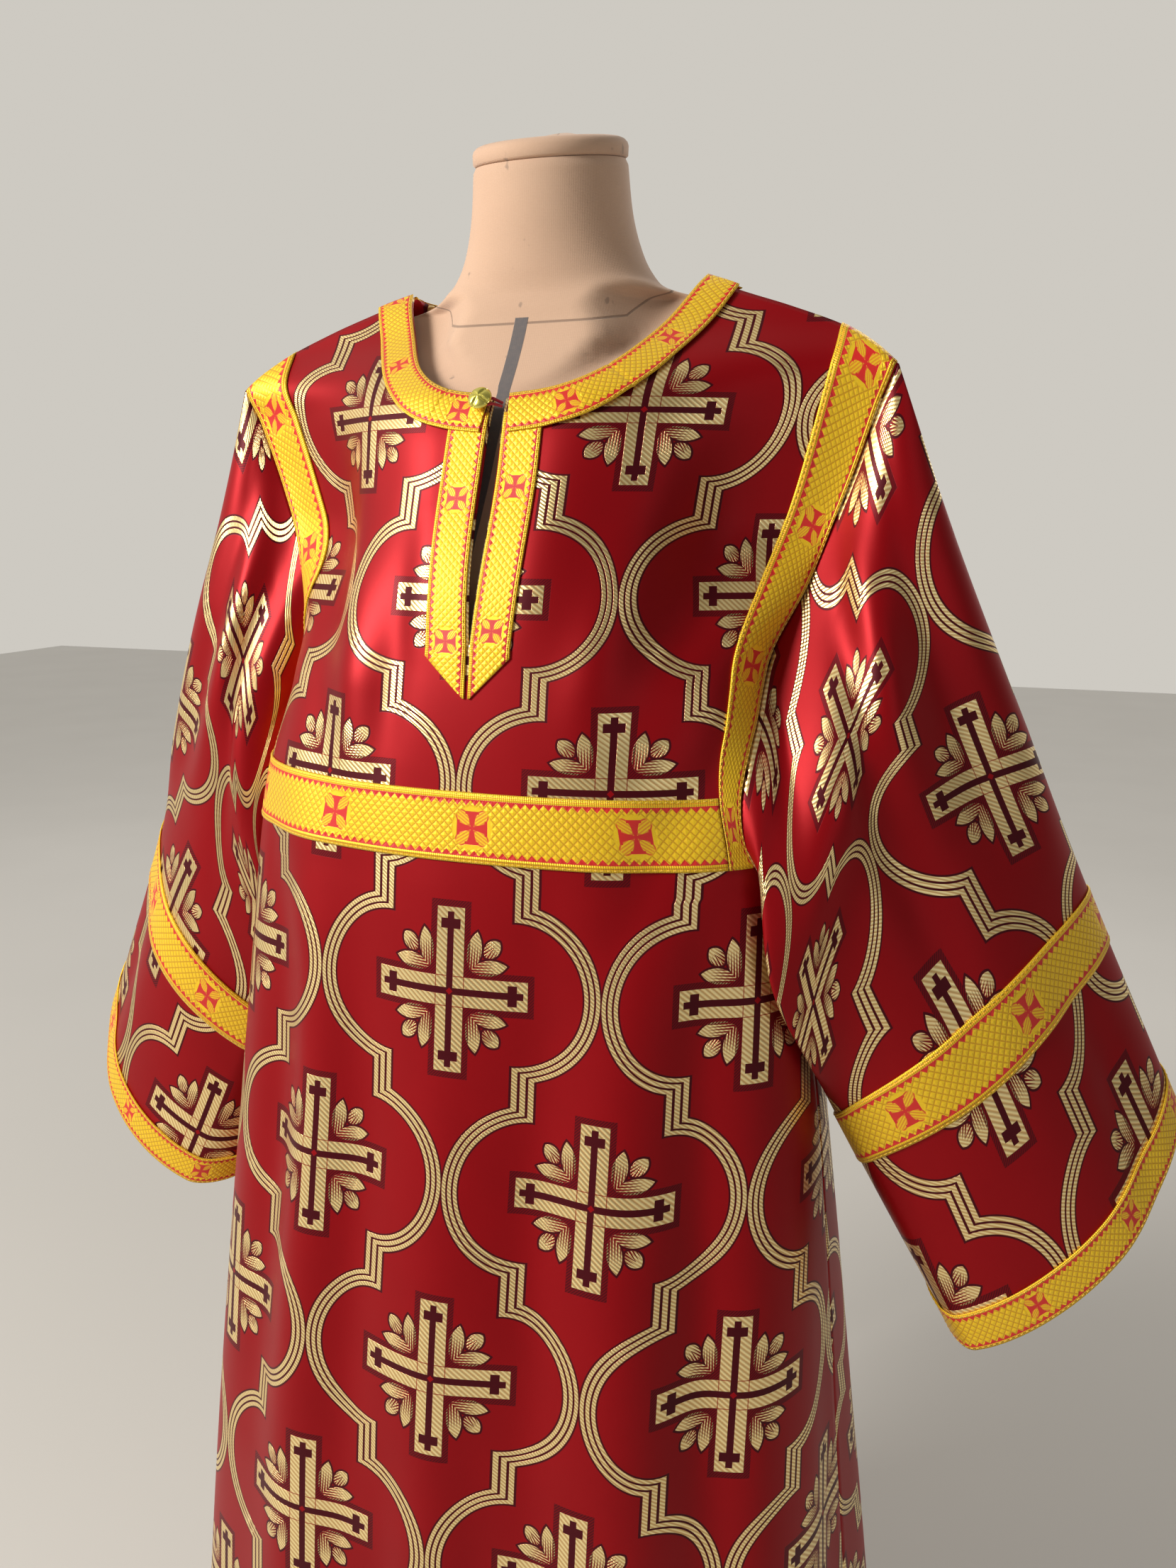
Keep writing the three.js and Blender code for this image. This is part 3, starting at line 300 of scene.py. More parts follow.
def front_place(across, up):
    size, sign = np.abs(across), np.sign(across)
    _, top_turn, top_z = front_top(size)
    edge_z = yoke_height(up, SHOULDER_Z)
    edge = by_sign(sign, column(ARMHOLE, "z", "front", edge_z), 90)

    def plain(share, turn):
        return up * (turn - 90 * share) + share * edge

    _, trim_turn, trim_z = front_top(np.array(TRIM_SHARE))
    low = np.minimum(yoke_height(up, trim_z), SHOULDER_Z)
    wanted = by_sign(sign, column(ARMHOLE, "z", "trim", low),
                     np.interp(low, TRIM_HEIGHTS, RIGHT_TRIM))
    fit = fit_to_trim(size, up, plain(TRIM_SHARE, trim_turn), wanted)
    return sign * (plain(size, top_turn) + fit), yoke_height(up, top_z)


def back_top(across):
    size, sign = np.abs(across), np.sign(across)
    x, turn, z = front_top(np.maximum(size, NECK_SHARE))
    shoulder = body_point(turn, z, -1)
    shoulder[..., 0] *= sign
    angle = np.clip(across / NECK_SHARE, -1, 1) * np.pi / 2
    side = body_point(*front_place(np.array(NECK_SHARE), np.array(1.0)), -1)
    neck = np.stack([
        NECK_SIDE[0] * np.sin(angle),
        side[1] + BACK_NECK_DEPTH * np.cos(angle),
        NECK_SIDE[1] - BACK_NECK_DROP * np.cos(angle),
    ], -1)
    return np.where((size >= NECK_SHARE)[..., None], shoulder, neck)


def back_point(across, up):
    across, up = np.broadcast_arrays(np.asarray(across, float), np.asarray(up, float))
    size, sign = np.abs(across), np.sign(across)
    top = back_top(across)
    top_turn = turn_at(np.abs(top[..., 0]), top[..., 2])
    edge_z = yoke_height(up, SHOULDER_Z)
    edge = column(ARMHOLE, "z", "back", edge_z)

    def plain(share, turn):
        return up * (turn - 90 * share) + share * edge

    trim_top = back_top(np.array(TRIM_SHARE))
    trim_turn = turn_at(abs(trim_top[0]), trim_top[2])
    wanted = by_sign(np.where(sign < 0, -1, 1), np.interp(edge_z, TRIM_HEIGHTS, BACK_TRIM[1]),
                     np.interp(edge_z, TRIM_HEIGHTS, BACK_TRIM[-1]))
    fit = fit_to_trim(size, up, plain(TRIM_SHARE, trim_turn), wanted)
    point = body_point(sign * (plain(size, top_turn) + fit), yoke_height(up, top[..., 2]), 1)
    miss = top - body_point(sign * top_turn, top[..., 2], 1)
    return point + miss * (up**11)[..., None]


# ---- creases ---------------------------------------------------------------
def crease_push(creases, a, b):
    """Height of listed creases at places (a, b) of a cloth. Each crease is a line of
    points, a width and a depth (below zero for a trough), and fades at both ends."""
    push = np.zeros(np.broadcast(a, b).shape)
    for line, width, depth in creases:
        line = np.array(line, float)
        lengths = np.linalg.norm(np.diff(line, axis=0), axis=1)
        whole, start = lengths.sum(), 0.0
        best = np.full(push.shape, 1e9)
        place = np.zeros(push.shape)
        for i, length in enumerate(lengths):
            way = (line[i + 1] - line[i]) / length
            along = (a - line[i, 0]) * way[0] + (b - line[i, 1]) * way[1]
            held = np.clip(along, 0, length)
            away = np.hypot(a - line[i, 0] - held * way[0], b - line[i, 1] - held * way[1])
            nearer = away < best
            best = np.where(nearer, away, best)
            place = np.where(nearer, (start + held) / whole, place)
            start += length
        fade = np.sin(np.pi * np.clip(0.06 + 0.88 * place, 0, 1)) ** 0.8
        push += depth * fade * np.exp(-((best / width) ** 2))
    return push


CREASE_GAIN = 1.5  # of the panels' depths below
FRONT_CREASES = (
    (((-165, 1400), (-150, 1250), (-128, 1150)), 26, -6),
    (((-118, 1380), (-100, 1230), (-96, 1140)), 22, 4),
    (((-60, 1330), (-62, 1220), (-70, 1150)), 17, -3),
    (((170, 1390), (150, 1270), (118, 1180)), 26, -6),
    (((118, 1370), (98, 1260), (84, 1170)), 22, 4),
    (((205, 1180), (150, 1120), (110, 1010)), 24, -5),
    (((-190, 1090), (-166, 980), (-172, 800), (-186, 600)), 26, -7),
    (((-140, 1070), (-130, 900), (-138, 650), (-150, 380)), 30, 5),
    (((-92, 1060), (-80, 850), (-86, 560), (-92, 300)), 26, -4),
    (((-20, 1050), (-12, 860), (-8, 600), (-12, 260)), 34, 4),
    (((66, 1060), (60, 860), (72, 560), (88, 240)), 28, -5),
    (((128, 1070), (126, 880), (142, 620), (164, 300)), 30, 5),
    (((178, 1075), (176, 930), (190, 700), (212, 420)), 24, -7),
    (((30, 700), (34, 480), (44, 190)), 26, -4),
    (((-48, 640), (-50, 420), (-56, 190)), 24, -4),
)
BACK_CREASES = (
    (((-150, 1390), (-128, 1240), (-110, 1150)), 28, -6),
    (((150, 1400), (134, 1250), (108, 1150)), 26, -6),
    (((-50, 1440), (-46, 1290), (-60, 1150)), 26, 4),
    (((62, 1430), (48, 1280), (52, 1150)), 26, 4),
    (((-168, 1070), (-160, 900), (-172, 640), (-190, 360)), 28, -7),
    (((-104, 1060), (-98, 860), (-108, 560), (-120, 240)), 30, 6),
    (((-44, 1055), (-40, 830), (-38, 520), (-46, 200)), 26, -6),
    (((16, 1050), (20, 860), (14, 600), (18, 240)), 28, 5),
    (((74, 1060), (80, 860), (92, 560), (98, 220)), 27, -6),
    (((134, 1065), (130, 880), (150, 600), (170, 300)), 28, 6),
    (((186, 1070), (184, 880), (200, 620), (220, 360)), 24, -6),
)
# On a sleeve the places are millimetres round from the crest and down from the shoulder.
LEFT_CREASES = (
    (((40, 20), (60, 180), (70, 330)), 22, -6),
    (((92, 30), (110, 170), (118, 300)), 20, 5),
    (((140, 60), (150, 200), (146, 330), (160, 420)), 22, -7),
    (((20, 120), (14, 260), (26, 380)), 24, 4),
    (((70, 420), (60, 500), (74, 600)), 22, -4),
    (((-50, 40), (-70, 200), (-64, 380)), 26, -6),
    (((-110, 80), (-128, 240), (-120, 420)), 26, 5),
    (((-30, 400), (-40, 520), (-36, 620)), 24, -4),
)
RIGHT_CREASES = (
    (((44, 20), (58, 160), (52, 330)), 20, -7),
    (((86, 40), (98, 180), (92, 320)), 18, 5),
    (((120, 60), (134, 200), (150, 340)), 22, -6),
    (((10, 140), (18, 280), (8, 390)), 22, 4),
    (((60, 430), (72, 520), (66, 610)), 22, -4),
    (((-56, 50), (-66, 190), (-72, 370)), 26, -6),
    (((-106, 70), (-124, 230), (-130, 420)), 26, 5),
    (((-26, 410), (-34, 520), (-44, 620)), 24, -4),
)


class Panel:
    """The front (-1) or back (+1) of the gown. Places are rows up and columns across, in
    the cells of the solids, and may lie between them."""

    def __init__(self, facing, creases):
        self.facing, self.creases = facing, creases

    def plain(self, row, place):
        row, place = np.broadcast_arrays(np.asarray(row, float), np.asarray(place, float))
        across = np.clip(2 * place / ACROSS - 1, -0.9998, 0.9998)
        up = np.clip((row - SKIRT_ROWS) / YOKE_ROWS, 0, 0.996)
        skirt_z = mix(HEM_Z, UNDERARM_Z, np.clip(row / SKIRT_ROWS, 0, 1))
        skirt = body_point(90 * across, skirt_z, self.facing)
        if self.facing < 0:
            yoke = body_point(*front_place(across, up), -1)
        else:
            yoke = back_point(across, up)
        return np.where((row < SKIRT_ROWS)[..., None], skirt, yoke)

    def normal(self, row, place):
        row, place = np.broadcast_arrays(np.asarray(row, float), np.asarray(place, float))
        low, high = np.maximum(row - 0.3, 0), np.minimum(row + 0.3, LAST_ROW - 0.06)
        left, right = np.maximum(place - 0.3, 0), np.minimum(place + 0.3, ACROSS)
        along = self.plain(row, right) - self.plain(row, left)
        up = self.plain(high, place) - self.plain(low, place)
        normal = unit(np.cross(along, up)) * -self.facing
        side = smooth(0.25, 0, np.minimum(place, ACROSS - place)) * (row < SKIRT_ROWS + 0.5)
        normal[..., 1] *= 1 - side
        return unit(normal)

    def push(self, points):
        edge = np.abs(points[..., 0])
        push = crease_push(self.creases, points[..., 0], points[..., 2])
        near_seam = smooth(0, 30, body("half", points[..., 2]) - edge)
        near_top = smooth(1500, 1440, points[..., 2])
        return CREASE_GAIN * push * near_seam * mix(0.25, 1, near_top)

    def at(self, row, place, lift=0.0):
        points = self.plain(row, place)
        reach = self.push(points) + lift
        return points + self.normal(row, place) * reach[..., None]


FRONT = Panel(-1, FRONT_CREASES)
BACK = Panel(1, BACK_CREASES)


def front_turn(turn, z, lift=0.0):
    """A place on the front by its turn and height, lifted off the cloth."""
    turn, z = np.broadcast_arrays(np.asarray(turn, float), np.asarray(z, float))
    points = body_point(turn, z, -1)
    by_turn = body_point(turn + 0.5, z, -1) - body_point(turn - 0.5, z, -1)
    by_height = body_point(turn, z + 1, -1) - body_point(turn, z - 1, -1)
    normal = unit(np.cross(by_turn, by_height))
    return points + normal * (FRONT.push(points) + lift)[..., None]


SEAM_PLACES = np.linspace(0, 1, 601)


class Sleeve:
    """A sleeve. around runs from 0 at the crest by the front, down from 0 to 1."""

    def __init__(self, sign, sections, creases):
        self.sign, self.sections, self.creases = sign, sections, creases
        self.seam = self.seam_line()
        self.arounds = np.linspace(INNER_RAIL - 1, INNER_RAIL, 241)
        self.downs = np.linspace(0, 1, 161)
        base = self.plain(self.arounds[None, :], self.downs[:, None])
        self.round = lengths_along(base, 1)
        crest = [np.interp(0, self.arounds, row) for row in self.round]
        self.round -= np.array(crest)[:, None]
        near_crest = np.abs(self.arounds) < 0.2
        rise = np.linalg.norm(np.diff(base, axis=0), axis=-1)[:, near_crest]
        self.along = np.concatenate([[0], np.cumsum(rise.mean(1))])

    def section(self, corners, around):
        corners = np.array(corners, float)
        place = np.mod(around, 1)
        count = len(RAILS)
        rail = np.searchsorted(RAILS, place, side="right") - 1
        rail = np.clip(rail, 0, count - 1)

        def start(index):
            return RAILS[index % count] + index // count

        def corner(index):
            return corners[index % count]

        def slope(index):
            span = (start(index + 1) - start(index - 1))[..., None]
            return (corner(index + 1) - corner(index - 1)) / span

        step = (start(rail + 1) - start(rail))[..., None]
        share = (place - start(rail))[..., None] / step
        return curve((corner(rail), corner(rail + 1)), (slope(rail), slope(rail + 1)), step,
                     share)

    def seam_line(self):
        """The panels' side edges from the crest down the front and up the back, on the
        wearer's left."""
        z = np.clip(column(ARMHOLE_RAILS, "share", "z", SEAM_PLACES), UNDERARM_Z, SHOULDER_Z)
        row = SKIRT_ROWS + yoke_up(z) * YOKE_ROWS
        edge = np.full(z.shape, ACROSS / 2 * (1 + self.sign))
        is_front = (SEAM_PLACES <= INNER_RAIL)[:, None]
        seam = np.where(is_front, FRONT.at(row, edge), BACK.at(row, edge))
        return seam * (self.sign, 1, 1)

    def armhole(self, around):
        return np.stack([np.interp(around, SEAM_PLACES, self.seam[:, i]) for i in range(3)], -1)

    def plain(self, around, down):
        around, down = np.broadcast_arrays(np.asarray(around, float), np.asarray(down, float))
        place = np.mod(around, 1)
        stations = [self.armhole(place)] + [self.section(c, place) for _, c in self.sections]
        shares = np.array([0.0] + [share for share, _ in self.sections])
        values = np.stack(stations)
        row = np.clip(np.searchsorted(shares[1:-1], down, side="left"), 0, len(shares) - 2)
        last = len(shares) - 1

        def pick(index):
            index = np.clip(index, 0, last)
            return np.take_along_axis(
                values, np.broadcast_to(index[None, ..., None], (1,) + down.shape + (3,)), 0)[0]

        def slope(index):
            low, high = np.clip(index - 1, 0, last), np.clip(index + 1, 0, last)
            return (pick(high) - pick(low)) / (shares[high] - shares[low])[..., None]

        step = (shares[row + 1] - shares[row])[..., None]
        share = np.clip((down - shares[row])[..., None] / step, 0, 1)
        points = curve((pick(row), pick(row + 1)), (slope(row), slope(row + 1)), step, share)
        low = smooth(0.22, 0.36, place) * (1 - smooth(0.78, 0.94, place))
        puff = PUFF_SIZE * low * (down / PUFF_AT) * np.exp(1 - down / PUFF_AT)
        seam = stations[0]
        out = unit(np.stack([seam[..., 0], seam[..., 1] - PUFF_AXIS,
                             -seam[..., 0] * PUFF_DROOP], -1))
        return points + out * puff[..., None]

    def flat(self, around, down):
        """Millimetres round from the crest and down from the shoulder."""
        around = np.mod(around - (INNER_RAIL - 1) - 1e-9, 1) + INNER_RAIL - 1 + 1e-9
        row = np.interp(down, self.downs, np.arange(len(self.downs)))
        place = np.interp(around, self.arounds, np.arange(len(self.arounds)))
        return between(self.round, row, place), np.interp(down, self.downs, self.along)

    def at(self, around, down, lift=0.0):
        around, down = np.broadcast_arrays(np.asarray(around, float), np.asarray(down, float))
        points = self.plain(around, down)
        low, high = np.maximum(down - 0.012, 0.0), np.minimum(down + 0.012, 1)
        up = self.plain(around, low) - self.plain(around, high)
        along = self.plain(around + 0.008, down) - self.plain(around - 0.008, down)
        normal = -unit(np.cross(along, up))
        outward = points - points.mean(axis=1, keepdims=True)
        if (normal * outward).sum() < 0:
            normal = -normal
        u, v = self.flat(around, down)
        push = crease_push(self.creases, u, v)
        push *= smooth(0.0, 0.09, down)
        # In the deep inner fold the cloth stays on the solid's form.
        deep = np.abs(np.mod(around - 0.47 + 0.5, 1) - 0.5)
        push *= smooth(0.04, 0.12, deep)
        points = points + normal * (push + lift)[..., None]
        points[..., 0] *= self.sign
        return points


LEFT = Sleeve(1, LEFT_SLEEVE, LEFT_CREASES)
RIGHT = Sleeve(-1, RIGHT_SLEEVE, RIGHT_CREASES)
SIDES = {1: "left", -1: "right"}

# ---- places on the cloth's pattern --------------------------------------------
# Heights on the panels where crosses of the woven pattern stand, and the pattern's own
# measure there.
PATTERN = table(
    ("z", "up"), (100, -826), (561, -402), (846, -134), (990, 0), (1138, 134), (1268, 268),
    (1397, 402), (1510, 536))
PATTERN_SHIFT, PATTERN_ACROSS, PATTERN_DOWN = 6.0, 1.065, 1.08
PATTERN_TOP_Z = 1502


def panel_uv(points, row, place, facing):
    """Pattern place of points of a panel: round the ring from its middle, and up."""
    heights, turns = np.linspace(HEM_Z, PATTERN_TOP_Z, 90), np.linspace(-90, 90, 181)
    lengths = lengths_along(body_point(turns[None, :], heights[:, None], facing)[..., :2], 1)
    lengths -= lengths[:, 90:91]
    x, z = points[..., 0], points[..., 2]
    half = body("half", z) + SWING_OUT * swing_at(z) * (x < 0)
    turn = np.degrees(np.arcsin(np.clip(x / half, -1, 1)))
    turn = np.where(row <= SKIRT_ROWS, 90 * (2 * place / ACROSS - 1), turn)
    level = np.clip((z - HEM_Z) / (PATTERN_TOP_Z - HEM_Z) * 89, 0, 88.999)
    u = between(lengths, level, np.clip(turn + 90, 0, 179.999))
    v = column(PATTERN, "z", "up", z)
    return np.stack([(u * -facing + PATTERN_SHIFT) / PATTERN_ACROSS, v], -1)


# ---- meshes ------------------------------------------------------------------
SEAM_MERGE, CORD_MERGE = 2e-5, 1e-6  # metres
SHARP_EDGE = math.radians(50)


def link(name, mesh, material):
    piece = bpy.data.objects.new(name, mesh)
    bpy.context.scene.collection.objects.link(piece)
    mesh.materials.append(material)
    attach(piece, "root")
    return piece


def grid_faces(rows, cols, start=0):
    index = np.arange(rows * cols).reshape(rows, cols) + start
    quads = np.stack([index[:-1, :-1], index[:-1, 1:], index[1:, 1:], index[1:, :-1]], -1)
    return quads.reshape(-1, 4).tolist()


def smooth_mesh(name, points, faces, uv=None, merge=0.0, closed=False):
    """A mesh from points and their pattern places, both in millimetres. Points nearer to
    each other than merge, in metres, become one."""
    mesh = bpy.data.meshes.new(name)
    mesh.from_pydata((np.reshape(points, (-1, 3)) * MM).tolist(), [], faces)
    if uv is not None:
        layer = mesh.uv_layers.new(name="cloth")
        loops = np.empty(len(mesh.loops), int)
        mesh.loops.foreach_get("vertex_index", loops)
        layer.data.foreach_set("uv", (np.reshape(uv, (-1, 2)) * MM)[loops].reshape(-1))
    if merge:
        work = bmesh.new()
        work.from_mesh(mesh)
        bmesh.ops.remove_doubles(work, verts=work.verts, dist=merge)
        if closed:
            bmesh.ops.recalc_face_normals(work, faces=work.faces)
        work.to_mesh(mesh)
        work.free()
    mesh.polygons.foreach_set("use_smooth", [True] * len(mesh.polygons))
    return mesh


def sheet_mesh(name, parts, material, thickness, merge=False):
    """One cloth from grids of points with pattern places, as a thin shell."""
    faces, count = [], 0
    for grid, _ in parts:
        rows, cols = grid.shape[:2]
        faces += grid_faces(rows, cols, count)
        count += rows * cols
    points = np.concatenate([grid.reshape(-1, 3) for grid, _ in parts])
    uv = np.concatenate([uv.reshape(-1, 2) for _, uv in parts])
    mesh = smooth_mesh(name, points, faces, uv, SEAM_MERGE if merge else 0.0)
    piece = link(name, mesh, material)
    shell = piece.modifiers.new("shell", "SOLIDIFY")
    shell.thickness = thickness * MM
    shell.offset = 0
    shell.use_even_offset = False
    return piece


# ---- materials -----------------------------------------------------------------
class Graph:
    """Writes a material's nodes from arithmetic on sockets."""

    def __init__(self, name):
        self.material = bpy.data.materials.new(name)
        self.material.use_nodes = True
        self.tree = self.material.node_tree
        self.shader = self.tree.nodes["Principled BSDF"]

    def node(self, kind, **settings):
        node = self.tree.nodes.new(kind)
        for key, value in settings.items():
            setattr(node, key, value)
        return node

    def feed(self, socket, value):
        if isinstance(value, Number):
            self.tree.links.new(value.socket, socket)
        else:
            socket.default_value = value

    def op(self, operation, *values, clamp=False):
        node = self.node("ShaderNodeMath", operation=operation, use_clamp=clamp)
        for socket, value in zip(node.inputs, values):
            self.feed(socket, value)
        return Number(self, node.outputs[0])

    def split(self, vector):
        node = self.node("ShaderNodeSeparateXYZ")
        self.tree.links.new(vector, node.inputs[0])
        return [Number(self, socket) for socket in node.outputs]

    def uv(self):
        """Place on the cloth's pattern, in millimetres."""
        u, v, _ = self.split(self.node("ShaderNodeUVMap", uv_map="cloth").outputs[0])
        return u * 1000.0, v * 1000.0

    def place(self):
        return self.node("ShaderNodeTexCoord").outputs["Object"]

    def noise(self, vector, scale, detail=2.0, roughness=0.5):
        node = self.node("ShaderNodeTexNoise")
        node.inputs["Scale"].default_value = scale
        node.inputs["Detail"].default_value = detail
        node.inputs["Roughness"].default_value = roughness
        self.tree.links.new(vector, node.inputs["Vector"])
        return Number(self, node.outputs["Fac"])

    def vector(self, x, y, z=0.0):
        node = self.node("ShaderNodeCombineXYZ")
        for socket, value in zip(node.inputs, (x, y, z)):
            self.feed(socket, value)
        return node.outputs[0]

    def ramp(self, low, high, value):
        """0 below low to 1 above high, or the other way if low is above high."""
        node = self.node("ShaderNodeMapRange", interpolation_type="SMOOTHSTEP", clamp=True)
        flip = low > high
        self.feed(node.inputs["Value"], value)
        node.inputs["From Min"].default_value = min(low, high)
        node.inputs["From Max"].default_value = max(low, high)
        node.inputs["To Min"].default_value = 1.0 if flip else 0.0
        node.inputs["To Max"].default_value = 0.0 if flip else 1.0
        return Number(self, node.outputs["Result"])

    def inside(self, distance):
        """1 inside an outline and 0 outside it, from the distance to it in millimetres."""
        return self.ramp(0.15, -0.15, distance)

    def blend(self, under, over, share):
        node = self.node("ShaderNodeMix", data_type="RGBA")
        self.feed(node.inputs[0], share)
        for socket, value in ((node.inputs[6], under), (node.inputs[7], over)):
            if isinstance(value, tuple):
                socket.default_value = (*value, 1.0)
            else:
                self.tree.links.new(value, socket)
        return node.outputs[2]

    def bump(self, height, distance, strength=1.0):
        node = self.node("ShaderNodeBump")
        node.inputs["Strength"].default_value = strength
        node.inputs["Distance"].default_value = distance
        self.tree.links.new(height.socket, node.inputs["Height"])
        self.tree.links.new(node.outputs[0], self.shader.inputs["Normal"])

    def finish(self, colour, **sockets):
        self.tree.links.new(colour, self.shader.inputs["Base Color"])
        for name, value in sockets.items():
            self.feed(self.shader.inputs[name.replace("_", " ").title()], value)
        return self.material


class Number:
    def __init__(self, graph, socket):
        self.graph, self.socket = graph, socket

    def __add__(self, other):
        return self.graph.op("ADD", self, other)

    __radd__ = __add__

    def __sub__(self, other):
        return self.graph.op("SUBTRACT", self, other)

    def __rsub__(self, other):
        return self.graph.op("SUBTRACT", other, self)

    def __mul__(self, other):
        return self.graph.op("MULTIPLY", self, other)

    __rmul__ = __mul__

    def __truediv__(self, other):
        return self.graph.op("DIVIDE", self, other)

    def abs(self):
        return self.graph.op("ABSOLUTE", self)

    def sin(self):
        return self.graph.op("SINE", self)

    def mod(self, size):
        return self.graph.op("FLOORED_MODULO", self, size)

    def least(self, other):
        return self.graph.op("MINIMUM", self, other)

    def most(self, other):
        return self.graph.op("MAXIMUM", self, other)

    def over(self, other):
        return self.graph.op("GREATER_THAN", self, other)

    def under(self, other):
        return self.graph.op("LESS_THAN", self, other)


def hypot(graph, x, y):
    return graph.op("SQRT", x * x + y * y)


def stripe(graph, value, period):
    """A soft wave from 0 to 1 that repeats along a value."""
    return (value * (2 * math.pi / period)).sin() * 0.5 + 0.5


REPEAT_W, REPEAT_H = 212.0, 268.0  # of the brocade's half-drop pattern
RED = (0.35, 0.001, 0.005)
RED_DEEP = (0.20, 0.0005, 0.003)
MAROON = (0.065, 0.001, 0.005)
GOLD = (1.0, 0.83, 0.42)
# The next colour is gold in painted shade, the copper tone laid into the twill's grooves.
GOLD_IN_SHADE = (0.52, 0.25, 0.07)


def brocade_material():
    """Red satin with a traditional half-drop trellis of gold ogee frames round crosses."""
    g = Graph("brocade")
    u, v = g.uv()
    half_w, half_h = REPEAT_W / 2, REPEAT_H / 2
    x = ((u + half_w).mod(REPEAT_W) - half_w).abs()
    y = ((v + half_h).mod(REPEAT_H) - half_h).abs()
    # The frame between neighbouring cells: two arcs joined by an upright step.
    gap, step = 5.9, 27.0
    rise = REPEAT_H / 4 - step / 2
    run = REPEAT_W / 4 - gap
    radius = (run**2 + rise**2) / (2 * run)
    inside = radius - hypot(g, x - (half_w - gap - radius), y)
    outside = hypot(g, x - (gap + radius), y - half_h) - radius
    edge = inside.most(((REPEAT_W / 4 - x) * 0.68).least(outside))
    own = edge.over(0.0)
    other = 1.0 - own
    px = x + other * (half_w - 2.0 * x)
    py = y + other * (half_h - 2.0 * y)
    a, b = px.most(py), px.least(py)
    away = edge.abs()
    band = g.ramp(5.55, 5.25, away)
    lines = g.ramp(0.78, 0.48, (away - 2.0).abs())
    rim = g.ramp(6.8, 6.4, away) * (1.0 - band)
    # The cross, with a channel in each arm and a small cross at its end.
    arm = (b - 10.0).most(a - 55.0)
    cross = g.inside(arm)
    ring = g.ramp(4.6, 4.3, arm) * (1.0 - cross)
    channel = (b - 2.3).most(a - 52.0)
    end = ((a - 44.4).abs() - 3.2).most(b - 7.0)
    inlay = g.inside(channel.least(end)) * cross
    threads = g.ramp(0.5, 0.2, (a - 10.2).abs()) * cross * (1.0 - inlay)
    heart = g.ramp(2.6, 2.2, px + py)
    # Four sprigs between the arms: two pointed petals and a small round one.
    t1 = (a - 27.8) * 0.985 + (b - 17.3) * 0.174
    n1 = (b - 17.3) * 0.985 - (a - 27.8) * 0.174
    p1 = hypot(g, t1, n1.abs() + 13.6) - 18.8
    t2 = (a + b - 60.0) * 0.7071
    n2 = (a - b) * 0.7071
    p2 = hypot(g, t2, n2 + 2.6) - 7.7
    petal = p1.least(p2)
    leaf = g.inside(petal) * (1.0 - cross)
    leaf_rim = g.ramp(1.6, 1.3, petal) * (1.0 - leaf) * (1.0 - cross)
    first = p1.under(p2)
    along = first * (t1 / 13.0) + (1.0 - first) * (t2 / 7.3)
    side = first * n1 + (1.0 - first) * n2
    veins = stripe(g, side + along * 1.5, 1.9)
    blush = g.ramp(0.5, 0.9, veins - along * 0.7 - 0.12) * leaf
    vein_lines = g.ramp(0.80, 0.95, veins - along * 0.35) * leaf

    gold = (band * (1.0 - lines)).most(cross * (1.0 - inlay)).most(leaf)
    dark = (band * lines).most(rim).most(ring).most(inlay).most(leaf_rim)
    # Weave: a twill on the gold and a fine satin on the red. The twill's grooves on the gold get
    # painted shade in a copper tone.
    twill = stripe(g, u * 0.7 + v, 2.5)
    rope = stripe(g, u * 0.8 + v, 3.6)
    hatch = twill + (rope - twill) * cross
    fine = g.noise(g.vector(u * 0.9, v * 2.6), 1.0, 2.0, 0.6)
    cloudy = g.noise(g.vector(u * 0.02, v * 0.02), 1.0, 2.0)
    satin = g.blend(RED, RED_DEEP, fine * 0.6 + cloudy * 0.3)
    # Painted shade: the gold turns copper in its twill grooves, and the cloud noise adds random
    # tone.
    shaded = g.blend(GOLD, GOLD_IN_SHADE, (1.0 - hatch) * 0.75 + cloudy * 0.2 - 0.1)
    colour = g.blend(satin, shaded, gold)
    ring_hatch = stripe(g, u - v, 2.1) * ring * 0.55
    colour = g.blend(colour, MAROON, dark * (1.0 - ring_hatch))
    colour = g.blend(colour, RED, blush.most(threads * 0.8).most(heart * 0.8))
    colour = g.blend(colour, MAROON, vein_lines * 0.7)
    thread = gold * (1.0 - blush) * (1.0 - vein_lines)
    height = thread * (0.6 + hatch * 0.5) + fine * 0.10 + (1.0 - thread) * (1.0 - dark) * 0.12
    g.bump(height, 0.0004, 0.8)
    material = g.finish(colour, metallic=0.42 + thread * 0.42,
                        roughness=0.42 - thread * 0.12 + fine * 0.06)
    g.shader.inputs["Specular IOR Level"].default_value = 0.22
    return material


YELLOW = (0.93, 0.61, 0.012)
# The next colour is the galloon's gold in painted shade, for the grooves of its lattice and edge
# ribs.
OCHRE_IN_SHADE = (0.58, 0.27, 0.006)
TRIM_RED = (0.58, 0.012, 0.008)


